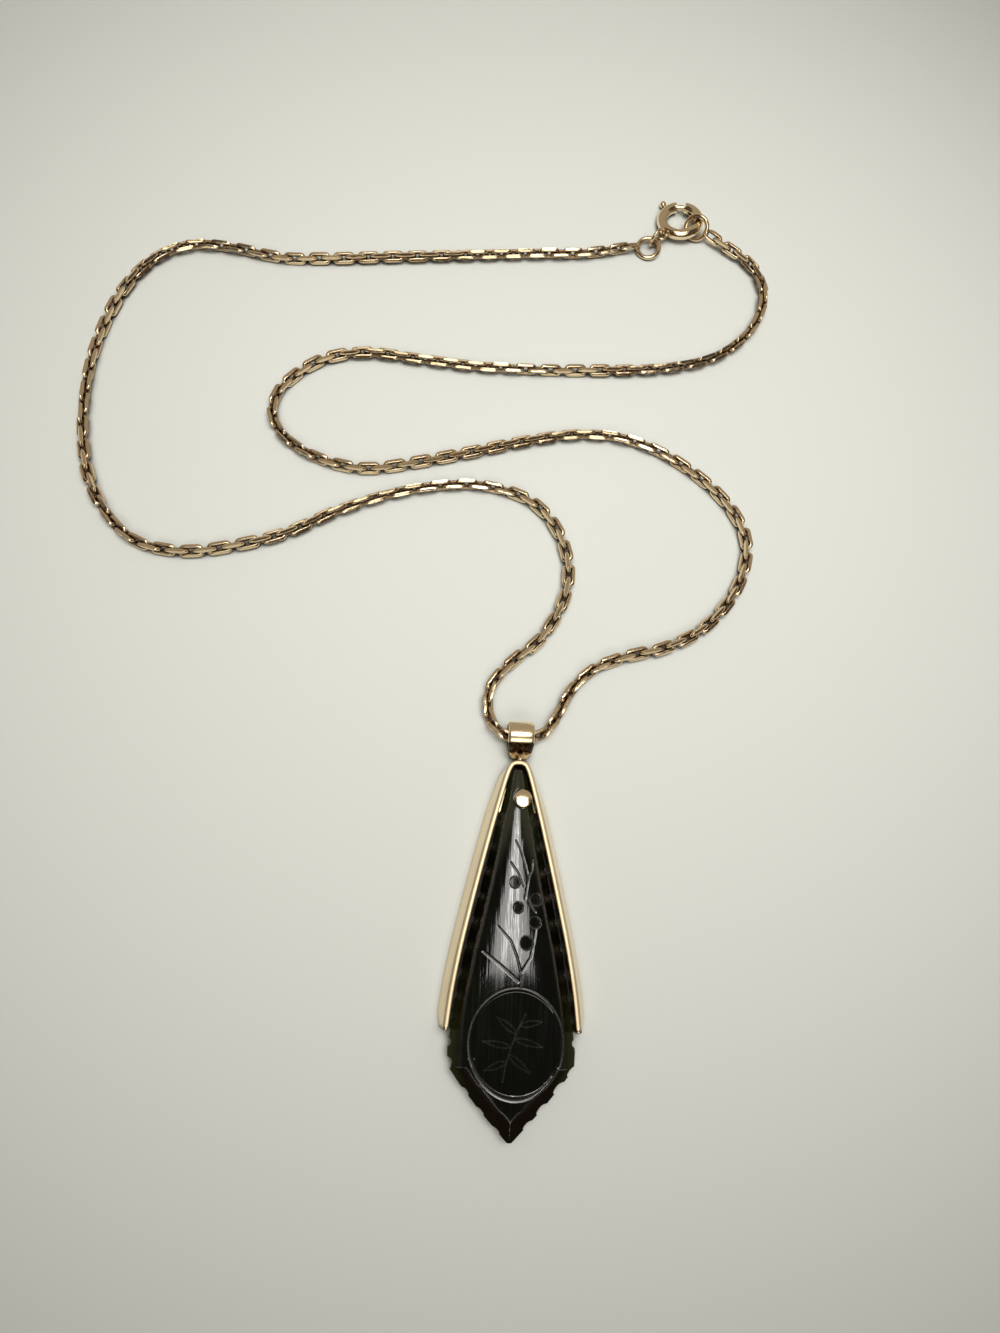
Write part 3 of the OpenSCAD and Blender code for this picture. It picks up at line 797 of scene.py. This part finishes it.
def in_clasp(shell):
    """A shell made about the clasp's own axis, put where the clasp leans."""
    lean = turn("Z", CLASP_LEAN_HEADING) @ turn("Y", -CLASP_LEAN) @ turn("Z", -CLASP_LEAN_HEADING)
    return shell.moved(lean, (*CLASP_CENTRE, CLASP_HEIGHT))


def box_section(low, high, height):
    """A rectangle, out from low to high."""
    return np.array([(low, -height / 2), (high, -height / 2), (high, height / 2), (low, height / 2)])


def clasp_body(material):
    """The hollow tube with its mouth, the slot for the knob and the eye soldered on."""
    tube = make_object("clasp_tube", in_clasp(
        arc_solid(TUBE_MIDDLE, circle(TUBE_RADIUS, 48), MOUTH[1], 360 + MOUTH[0], TUBE_STEPS)))
    eye = torus(EYE_MIDDLE, EYE_WIRE, around=64, about=20)
    place = turn("Z", EYE_ANGLE) @ np.array([EYE_RADIUS, 0, 0])
    boolean(tube, make_object("eye", in_clasp(eye.moved(NO_TURN, place))), "UNION")
    bore = (MOUTH[1] - BORE_PAST_MOUTH, 360 + MOUTH[0] + BORE_PAST_MOUTH)
    cuts = [
        arc_solid(TUBE_MIDDLE, circle(BORE_RADIUS, 32), *bore, TUBE_STEPS),
        arc_solid(TUBE_MIDDLE, box_section(0, CUT_REACH, SLOT_HEIGHT), *SLOT, steps=24),
        arc_solid(TUBE_MIDDLE, box_section(-CUT_REACH, 0, WINDOW_HEIGHT), *WINDOW, steps=24)]
    for cut in cuts:
        boolean(tube, make_object("cut", in_clasp(cut)), "DIFFERENCE")
    settle(tube, material, "necklace", "polished_gold", "clasp_body")


def clasp_trigger(material):
    """The sliding bolt with its stem and ball."""
    bolt = arc_solid(TUBE_MIDDLE, circle(BOLT_RADIUS, 24), *BOLT, steps=48)
    out = turn("Z", KNOB_ANGLE)
    knob = ball(X, KNOB_SIZE, rows=25, sides=32, tip=0.0004)
    knob = knob.moved(out, out @ np.array([KNOB_RADIUS, 0, 0]))
    reach = [0.0, 0.5, 0.8, KNOB_RADIUS - TUBE_MIDDLE]
    stem = lathed(X, reach, STEM_RADIUS * np.array([1, 1, 1, STEM_FLARE]), sides=20)
    stem = stem.moved(out, out @ np.array([TUBE_MIDDLE, 0, 0]))
    piece = make_object("clasp_bolt", in_clasp(fused([bolt, knob, stem])))
    settle(piece, material, "trigger", "polished_gold", "clasp_trigger")


# Bail

def bail_loop(radius, tip, steps=10):
    """The outline round the bail's barrel and its tip, as y and z, with points down the tangents."""
    run = np.subtract(tip, BAIL_MIDDLE)
    spread = math.degrees(math.acos((radius - BAIL_TIP_RADIUS) / np.linalg.norm(run)))
    heading = math.degrees(math.atan2(run[1], run[0]))
    wide = np.radians(np.linspace(heading + spread, heading + 360 - spread, 61))
    narrow = np.radians(np.linspace(heading - spread, heading + spread, 13))
    outer = np.add(BAIL_MIDDLE, radius * np.stack([np.cos(wide), np.sin(wide)], -1))
    inner = np.add(tip, BAIL_TIP_RADIUS * np.stack([np.cos(narrow), np.sin(narrow)], -1))
    share = np.arange(1, steps)[:, None] / steps
    under = outer[-1] + (inner[0] - outer[-1]) * share
    over = inner[-1] + (outer[0] - inner[-1]) * share
    return np.concatenate([outer, under, inner, over])


def bail_half_width(outer, inner):
    """Half the band's width at one place of its loop: it narrows to the tip and is rounded there."""
    share = smooth(0, BAIL_TAPER_Y, (outer[0] + inner[0]) / 2)
    half = (BAIL_TIP_WIDTH + (BAIL_WIDTH - BAIL_TIP_WIDTH) * share) / 2
    end = max(0.0, (BAIL_ROUND_Y - outer[0]) / (BAIL_ROUND_Y - BAIL_END_Y))
    return half * math.sqrt(1 - BAIL_ROUNDING * end ** 2)


def bail_row(outer, inner):
    """The band's section at one place of its loop, and the tone of its points: a painted dark reflection
    on the lower front and painted shade on the inside.
    """
    # Painted dark reflection on the outside where the band turns down toward the stone.
    darkening = smooth(*BAIL_DARK_REFLECTION_UPPER, outer[0]) * smooth(*BAIL_DARK_REFLECTION_LOWER, outer[0])
    dark = darkening * (outer[1] > BAIL_DARK_REFLECTION_ABOVE)
    outside_tone = dark - BAIL_SATIN * (1 - dark)
    half = bail_half_width(outer, inner)
    thickness = np.linalg.norm(outer - inner)
    outward = unit(outer - inner)
    points, tones = [], []
    for x_side, outside in ((1, True), (-1, True), (-1, False), (1, False)):
        edge = BAIL_EDGE if outside else BAIL_INNER_EDGE
        for step in range(BAIL_CORNER_STEPS + 1):
            angle = math.radians(90 * step / BAIL_CORNER_STEPS)
            along, across = math.cos(angle), math.sin(angle)
            if (x_side > 0) != outside:
                along, across = across, along
            x = x_side * (half - edge * (1 - along))
            depth = edge * (1 - across) / thickness
            place = outer + (inner - outer) * (depth if outside else 1 - depth)
            if outside:
                place = place - outward * BAIL_BARREL * (x / half) ** 2
            points.append((x + BAIL_SHIFT, *place))
            tones.append(outside_tone if outside else PAINTED_SHADE)
    return points, tones


def bail(material):
    """The band, with softened edges, that narrows to its drilled tip."""
    outside = bail_loop(BAIL_RADIUS, BAIL_TIP)
    inside = bail_loop(BAIL_RADIUS - BAIL_WALL, BAIL_INSIDE_TIP)
    rows, tones = zip(*[bail_row(outer, inner) for outer, inner in zip(outside, inside)])
    loop = in_pendant(skin(np.array(rows), wrap=True, tone=tones))
    band = make_object("bail_band", loop, sharp=40)
    drill = lathed(Z, BAIL_DRILL, [BAIL_HOLE_RADIUS] * 2, sides=40)
    hole = drill.moved(NO_TURN, (BAIL_SHIFT, BAIL_HOLE_Y, 0))
    boolean(band, make_object("drill", in_pendant(hole)), "DIFFERENCE")
    tone_from(band, loop)
    settle(band, material, "necklace", "polished_gold", "bail")


# Frame

def rail_line(steps=8):
    """The rail's middle line from the left arm's foot over the apex to the right arm's foot."""
    table = np.array(RAIL, float)
    gaps = np.linalg.norm(np.diff(table, axis=0), axis=1)
    slopes = np.empty_like(table)
    slopes[0] = (1, 0)
    slopes[-1] = (table[-1] - table[-2]) / gaps[-1]
    slopes[1:-1] = (table[2:] - table[:-2]) / (gaps[1:] + gaps[:-1])[:, None]
    line = []
    u = np.arange(steps)[:, None] / steps
    for start, end, gap, leaving, arriving in zip(table, table[1:], gaps, slopes, slopes[1:]):
        line.append((2 * u ** 3 - 3 * u ** 2 + 1) * start + (u ** 3 - 2 * u ** 2 + u) * gap * leaving
                    + (3 * u ** 2 - 2 * u ** 3) * end + (u ** 3 - u ** 2) * gap * arriving)
    right = np.concatenate(line + [table[-1:]])
    left = right[:0:-1] * [-1, 1]
    return np.concatenate([left, right])


def frame_section(flare):
    """The folded sheet: distance out from the rail's middle, height, and tone.
    The tone paints shade on the inner wall, a shadow line below the crown and shade under the sheet.
    """
    top = FRAME_HEIGHT
    inner_wall = [(-HALF_RAIL, top - depth, tone) for depth, tone in INNER_WALL]
    crown = [(out, top - depth, tone) for out, depth, tone in CROWN]
    run, fall = HALF_RAIL + flare - CREASE, top - CREASE
    slope = [(CREASE + run * share ** SLOPE_BOW, fall * (1 - share) ** SLOPE_BELLY,
              SLOPE_SHADOW_LINE * (1 - share) ** SLOPE_SHADOW_LINE_FADE) for share in np.linspace(0, 1, SLOPE_STEPS)]
    corner = SHEET - HALF_RAIL
    hidden = [(max(out - SHEET, corner + SHEET_CLEAR), height * UNDERSIDE, 1)
              for out, height, _ in slope[::-1]]
    return np.array(inner_wall + crown + slope + hidden + [(corner, UNDERSIDE * top, 1), (corner, 0, 1)])


def frame_wall():
    """The two arms and the apex, one folded sheet with its polished rail."""
    line = rail_line()
    y, foot_y = line[:, 1], line[:, 1].min()
    run = unit(np.gradient(line, axis=0))
    flares = FLARE * (1 - FOOT_NARROWING * smooth(foot_y + FOOT_LENGTH, foot_y, y))
    for share, reach in (FLARE_APEX, FLARE_SHOULDER):
        flares = np.minimum(flares, FLARE * (share - y / reach))
    sections = np.stack([frame_section(flare) for flare in flares])
    tone = sections[..., 2]
    # Beside each notch the wall's painted shade is lifted: painted reflections of the stone's notches.
    for notch_y in UPPER_NOTCHES:
        lit = 1 - bell(y - notch_y, NOTCH_GLINT)
        tone[:, :len(INNER_WALL)] = np.minimum(tone[:, :len(INNER_WALL)], lit[:, None])
    # The arms' feet are painted dark: painted shade at the sheet's cut ends.
    end = smooth(foot_y + FOOT_PAINTED_SHADE[0], foot_y + FOOT_PAINTED_SHADE[1], y)[:, None]
    tone = tone + (PAINTED_SHADE - tone) * end
    level = np.zeros((len(line), 1))
    outs = np.hstack([-run[:, 1:], run[:, :1], level])
    return sweep(np.hstack([line, level]), outs, NO_TURN[Z], sections[..., :2], caps=True, tone=tone)


def pendant_frame(material):
    """The folded sheet, the small ring at the apex and the strap behind the stone."""
    loop = arc_solid(APEX_RING_MIDDLE, circle(APEX_RING_WIRE, 24),
                     -APEX_RING_TUCK, 180 + APEX_RING_TUCK, steps=60)
    loop = loop.moved(turn("Y", 90), APEX_RING_PLACE)
    corners = [(-STRAP_TOP[0], STRAP_TOP[1]), (-STRAP_BOTTOM[0], STRAP_BOTTOM[1]),
               STRAP_BOTTOM, STRAP_TOP]
    plate = np.array([[(x, y, z) for x, y in corners] for z in (0, STRAP_THICKNESS)])
    strap = skin(plate, caps=True)
    shell = fused([frame_wall(), loop, strap])
    piece = make_object("pendant_frame_gold", in_pendant(shell), sharp=40)
    settle(piece, material, "necklace", "polished_gold", "pendant_frame")


def stud(material):
    """The stud's low domed head and its pin."""
    dome = [(STUD_FLAT * share, STUD_TOP - STUD_DOME * share ** 2) for share in np.linspace(1, 0.02, 12)]
    side = [(STUD_PIN, STUD_PIN_BOTTOM), (STUD_PIN, STUD_HEAD_BOTTOM),
            (STUD_RADIUS - STUD_BEVEL, STUD_HEAD_BOTTOM), (STUD_RADIUS, STUD_HEAD_BOTTOM + STUD_BEVEL),
            (STUD_RADIUS, STUD_SHOULDER)]
    radii, heights = zip(*(side + dome))
    head = lathed(Z, heights, radii, sides=64)
    top = smooth(STUD_SEAT, STUD_SHOULDER, head.points[:, Z])
    head.points[:, Z] -= STUD_TILT * head.points[:, Y] * top
    piece = make_object("stud_head", in_pendant(head.moved(NO_TURN, (*STUD, 0))), sharp=50)
    settle(piece, material, "necklace", "polished_gold", "stud")


# Stone

def half_width(y):
    """The stone's half width at a height down its axis, before its notches."""
    table = np.array(STONE)[::-1]
    return np.interp(y, table[:, 0], table[:, 1])


def notched(y, side):
    """The half width on one side, with its notches."""
    cut = np.zeros_like(y)
    for middle, depth, up, down in [(place, *NOTCH) for place in UPPER_NOTCHES] + LOWER_NOTCHES[side]:
        reach = np.where(y > middle, up, down)
        cut = np.maximum(cut, depth * np.sqrt(np.clip(1 - ((y - middle) / reach) ** 2, 0, 1)))
    return np.maximum(half_width(y) - cut, STONE_LEAST_HALF)


def along(points, count=80):
    """Many points along the line through a few."""
    table = np.array(points, float)
    knots = np.arange(len(table))
    fine = np.linspace(0, len(table) - 1, count)
    return np.stack([np.interp(fine, knots, table[:, 0]), np.interp(fine, knots, table[:, 1])], -1)


def leaf(base, tip, count=40):
    """The outline of a slim pointed leaf."""
    base, tip = np.array(base), np.array(tip)
    run = tip - base
    side = np.array([-run[1], run[0]]) / np.linalg.norm(run)
    share = np.linspace(0, 1, count)[:, None]
    bulge = LEAF_HALF_WIDTH * np.sin(np.pi * share ** LEAF_FULLNESS) * side
    return np.concatenate([base + run * share + bulge, base + run * share - bulge])


def distance_to(x, y, points):
    """How far each place is from a line of points."""
    nearest = np.full(x.shape, 9.0)
    for px, py in points:
        nearest = np.minimum(nearest, (x - px) ** 2 + (y - py) ** 2)
    return np.sqrt(nearest)


def ridge_height(y):
    """The height of the stone's long ridge."""
    return STONE_RIDGE - (y - STONE_RIDGE_Y) ** 2 / (2 * STONE_LONG_RADIUS)


def blank(x, y):
    """The height of the stone's top before it is carved, and the painted highlight along its crest."""
    wide = half_width(y)
    lean = np.gradient(wide[:, 0], y[:, 0])[:, None]
    inwards = (wide - np.abs(x)) / np.sqrt(1 + lean ** 2)
    dome = ridge_height(y) - STONE_DOME * (x / np.maximum(wide, STONE_DOME_HALF)) ** 2
    slope = BEVEL_SLOPE - TIP_BEVEL_EASING * smooth(*TIP_BEVEL_FROM_TO, y)
    bevel = STONE_EDGE_HEIGHT + np.tan(np.radians(slope)) * inwards + smooth(*TOP_RISE_FROM_TO, y)
    tip = smooth(*TIP_FROM_TO, y)
    soft = CREST_SOFT - TIP_SHARPER * tip
    share = np.clip(0.5 + (bevel - dome) / (2 * soft), 0, 1)
    height = dome * share + bevel * (1 - share) - soft * share * (1 - share)
    # A pale line along the crest: a painted highlight.
    ground = bell(bevel - dome, CREST_WIDTH) * (CREST_HIGHLIGHT - TIP_LESS_HIGHLIGHT * tip)
    return height, ground


def carve_oval(x, y, height, ground):
    """Sinks the oval's dish and cuts the line round it."""
    radius = np.hypot((x - OVAL[0]) / OVAL_HALF[0], (y - OVAL[1]) / OVAL_HALF[1])
    level = ridge_height(OVAL[1]) - STONE_DOME * OVAL_DROP + DISH_TILT * (y - OVAL[1])
    dish = smooth(*OVAL_WALL, radius)
    height = height - np.maximum(height - level, 0) * dish
    line = np.abs(radius - 1) * OVAL_MEAN
    depth, reach = OVAL_CUT
    shade, shade_reach = OVAL_RIM
    return height - depth * bell(line, reach), np.maximum(ground, shade * bell(line, shade_reach)), dish


def carve_strokes(x, y, height, ground):
    """Cuts the stems down the stone and the sprig in its oval, in place."""
    strokes = [(along(stem), STEM_CUT) for stem in STEMS] + [(along(SPRIG_STEM), SPRIG_CUT)]
    strokes += [(leaf(base, tip), LEAF_CUT) for base, tip in SPRIG_LEAVES]
    for points, (depth, shade, reach) in strokes:
        low, high = points.min(0) - CUT_MARGIN, points.max(0) + CUT_MARGIN
        near = (x > low[0]) & (x < high[0]) & (y > low[1]) & (y < high[1])
        cut = bell(distance_to(x[near], y[near], points), reach)
        height[near] -= depth * cut
        ground[near] = np.maximum(ground[near], shade * cut)


def carve_dots(x, y, height, ground):
    """Sinks the round dots, and says where their matt floors are."""
    matt = np.zeros_like(x)
    shade, reach = DOT_RIM
    for px, py, size in DOTS:
        gap = np.hypot(x - px, y - py)
        height = height - (DOT_DEPTH + DOT_TILT * (x - px)) * smooth(size, size - DOT_WALL, gap)
        ground = np.maximum(ground, shade * bell(gap - size, reach))
        matt = np.maximum(matt, smooth(size, size - DOT_MATT, gap))
    return height, ground, matt


def carved(x, y):
    """The height of the stone's top, its pale tone for ground lines and painted highlights, its dots'
    floors and its dish.
    """
    height, ground = blank(x, y)
    height, ground, dish = carve_oval(x, y, height, ground)
    carve_strokes(x, y, height, ground)
    height, ground, matt = carve_dots(x, y, height, ground)
    outer = STUD_RADIUS + 2 * STUD_CLEARANCE
    seat = smooth(outer, outer - STUD_CLEARANCE, np.hypot(x - STUD[0], y - STUD[1]))
    return height - np.maximum(height - STUD_SEAT, 0) * seat, ground, matt, dish


def stone_grid():
    """Places over the stone's top, in rows across it, closer together near both edges."""
    y = np.linspace(STONE[0][0], STONE[-1][0], STONE_ROWS)
    left, right = notched(y, -1)[:, None], notched(y, 1)[:, None]
    band = np.minimum(STONE_BAND, STONE_BAND_SHARE * half_width(y))[:, None]
    steps = np.linspace(0, 1, STONE_BAND_STEPS + 1)[:-1]
    across = np.linspace(0, 1, STONE_MIDDLE_STEPS)
    start, end = -left + band, right - band
    x = np.hstack([-left + band * steps, start + (end - start) * across, right - band * steps[::-1]])
    return x, np.repeat(y[:, None], x.shape[1], 1)


def painted_glow(x, y):
    """Where the stone is thin and painted lighter, as light shining through: the lower edges, and the
    top of the stone.
    """
    edge = smooth(*GLOW_EDGE, np.abs(x) / half_width(y))
    edge = edge * smooth(*GLOW_BEGINS, y) * smooth(*GLOW_ENDS, y)
    return np.maximum(edge, GLOW_TOP_SHARE * smooth(*GLOW_TOP, y))


def ringed(middle, lip=0.0, left=None, right=None):
    """Values for the rows of the stone's skin: its back, left side, top and right side."""
    pad = np.zeros((len(middle), 1))
    left = pad + lip if left is None else left
    right = pad + lip if right is None else right
    return np.hstack([pad, pad, left, middle, right, pad])


def jade_stone(material):
    """The carved, notched and engraved stone."""
    x, y = stone_grid()
    z, ground, matt, dish = carved(x, y)
    top = np.stack([x, y, z], -1)
    lip_left = top[:, :1] + [-STONE_LIP_OUT, 0, -STONE_LIP_DOWN]
    lip_right = top[:, -1:] + [STONE_LIP_OUT, 0, -STONE_LIP_DOWN]
    foot_left, foot_right = lip_left.copy(), lip_right.copy()
    foot_left[..., Z] = foot_right[..., Z] = STONE_BACK
    back = (foot_left + foot_right) / 2
    ring = np.concatenate([back, foot_left, lip_left, top, lip_right, foot_right], 1)
    # The lip along both edges gets a faint painted highlight.
    shell = skin(ring, caps=True, tone=ringed(ground, STONE_LIP_HIGHLIGHT))
    piece = make_object("jade_carved", in_pendant(shell), sharp=60)
    clear = painted_glow(x, y)
    # The thin values paint light shining through the stone's thin edges and its top.
    set_values(piece.data, "thin", ringed(clear, left=clear[:, :1], right=clear[:, -1:]))
    set_values(piece.data, "matt", ringed(matt))
    set_values(piece.data, "calm", ringed(np.maximum(dish, smooth(*CALM_TIP, y))))
    settle(piece, material, "necklace", "jade", "jade_stone")


# Floor, light and camera

def floor():
    """The pale surface that the necklace lies on, with painted light falling off from its middle and
    painted contact shade.
    """
    corners = [(x * FLOOR_HALF, y * FLOOR_HALF, 0) for x, y in ((-1, -1), (1, -1), (1, 1), (-1, 1))]
    mesh = bpy.data.meshes.new("floor")
    mesh.from_pydata(corners, [], [(0, 1, 2, 3)])
    plane = bpy.data.objects.new("floor", mesh)
    bpy.context.scene.collection.objects.link(plane)
    material, nodes, place = new_material("paper")
    parts = nodes.add("ShaderNodeSeparateXYZ", inputs={"Vector": place}).outputs
    # Painted light: the floor's colour is brightest in the middle and falls off along X and Y.
    shade = FLOOR_PAINTED_MIDDLE
    for axis, (slope, curve) in zip("XY", FLOOR_PAINTED_FALLOFF):
        steepness = nodes.maths("ADD", slope, nodes.maths("MULTIPLY", parts[axis], curve))
        shade = nodes.maths("ADD", shade, nodes.maths("MULTIPLY", parts[axis], steepness))
    shade = nodes.maths("MINIMUM", nodes.maths("MAXIMUM", shade, FLOOR_PAINTED_LEAST), FLOOR_PAINTED_MOST)
    colour = nodes.mix(shade, BLACK, FLOOR_COLOUR)
    # Painted shade: ambient occlusion darkens the floor under and beside the chain.
    closed = nodes.add("ShaderNodeAmbientOcclusion", samples=6, inputs={"Distance": PAINTED_CONTACT_SHADE_REACH})
    colour = nodes.mix(nodes.ramp(closed.outputs["AO"], 0.3, 0.6), PAINTED_CONTACT_SHADE, colour)
    finish_material(nodes, {"Base Color": colour, "Roughness": FLOOR_ROUGHNESS})
    mesh.materials.append(material)


def between(nodes, lean, low, high, soft):
    """1 where a direction leans between two angles, going softly to 0 outside them."""
    share = 1.0
    for angle, start, end in ((low, 0.0, 1.0), (high, 1.0, 0.0)):
        if abs(angle) < HORIZON:
            edges = [math.tan(math.radians(edge)) for edge in (angle - soft, angle + soft)]
            share = nodes.maths("MULTIPLY", share, nodes.ramp(lean, *edges, start, end))
    return share


def sky():
    """The room, by how far a direction leans from straight up along X and along Y."""
    world = bpy.data.worlds.new("studio")
    world.use_nodes = True
    bpy.context.scene.world = world
    nodes = Nodes(world.node_tree)
    way = nodes.add("ShaderNodeTexCoord").outputs["Generated"]
    parts = nodes.add("ShaderNodeSeparateXYZ", inputs={"Vector": way}).outputs
    height = nodes.maths("MAXIMUM", parts["Z"], LEAST_HEIGHT)
    lean_x = nodes.maths("DIVIDE", parts["X"], height)
    lean_y = nodes.maths("DIVIDE", parts["Y"], height)
    colour = SKY_SIDES
    for x_range, y_range, soft, shade in SKY_ZONES:
        share = nodes.maths("MULTIPLY", between(nodes, lean_x, *x_range, soft),
                            between(nodes, lean_y, *y_range, soft))
        colour = nodes.mix(share, colour, shade)
    light = nodes.add("ShaderNodeBackground", inputs={"Color": colour, "Strength": 1.0})
    output = nodes.add("ShaderNodeOutputWorld")
    nodes.put(output.inputs["Surface"], light.outputs[0])


def soft_panels():
    """The panels overhead: polished pieces reflect three, and the fourth gives the soft shadows."""
    for place, size, watts, reflected in PANELS:
        data = bpy.data.lights.new("panel", "AREA")
        data.shape = "RECTANGLE"
        data.size, data.size_y = size
        data.energy = watts
        data.color = PANEL_COLOUR
        lamp = bpy.data.objects.new("panel", data)
        lamp.location = place
        lamp.visible_glossy = reflected
        bpy.context.scene.collection.objects.link(lamp)


def camera():
    """The camera at the photograph's place."""
    heading, elevation = math.radians(CAMERA_HEADING), math.radians(CAMERA_ELEVATION)
    look = Vector((math.cos(heading) * math.cos(elevation), math.sin(heading) * math.cos(elevation),
                   -math.sin(elevation)))
    data = bpy.data.cameras.new("camera")
    data.sensor_width = SENSOR
    data.lens = FOCAL_PIXELS / PHOTO_HEIGHT_PIXELS * SENSOR
    data.clip_start = CAMERA_CLIP
    made = bpy.data.objects.new("camera", data)
    bpy.context.scene.collection.objects.link(made)
    right = look.cross(Vector((0, 0, 1))).normalized()
    up = right.cross(look)
    roll = math.radians(CAMERA_ROLL)
    x_axis = math.cos(roll) * right + math.sin(roll) * up
    y_axis = math.cos(roll) * up - math.sin(roll) * right
    pose = Matrix((x_axis, y_axis, -look)).transposed().to_4x4()
    pose.translation = Vector(CAMERA_AIM) * MM - look * CAMERA_DISTANCE * MM
    made.matrix_world = pose
    bpy.context.scene.camera = made


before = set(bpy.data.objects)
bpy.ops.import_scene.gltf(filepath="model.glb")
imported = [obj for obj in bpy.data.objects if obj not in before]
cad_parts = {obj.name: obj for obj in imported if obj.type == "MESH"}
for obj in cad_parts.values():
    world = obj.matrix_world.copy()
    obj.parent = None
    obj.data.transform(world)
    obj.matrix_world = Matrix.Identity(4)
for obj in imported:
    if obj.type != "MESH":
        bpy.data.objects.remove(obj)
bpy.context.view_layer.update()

chain_gold = gold_material("chain_gold", CHAIN_GOLD, roughness=0.17, patch=0.5, dents=0.05,
                           filed=0.4, open_from_to=(0.3, 0.95))
polished_gold = gold_material("polished_gold", POLISHED_GOLD, roughness=0.13, patch=0.4, dents=0.02,
                              filed=0.12, open_from_to=(0.12, 0.6))
jade = jade_material()

chain("chain_left", chain_gold)
chain("chain_right", chain_gold)
end_rings(chain_gold)
connector_ring(chain_gold)
clasp_body(polished_gold)
clasp_trigger(polished_gold)
bail(polished_gold)
pendant_frame(polished_gold)
stud(polished_gold)
jade_stone(jade)

floor()
sky()
soft_panels()
camera()
bpy.context.scene.view_settings.view_transform = "Standard"
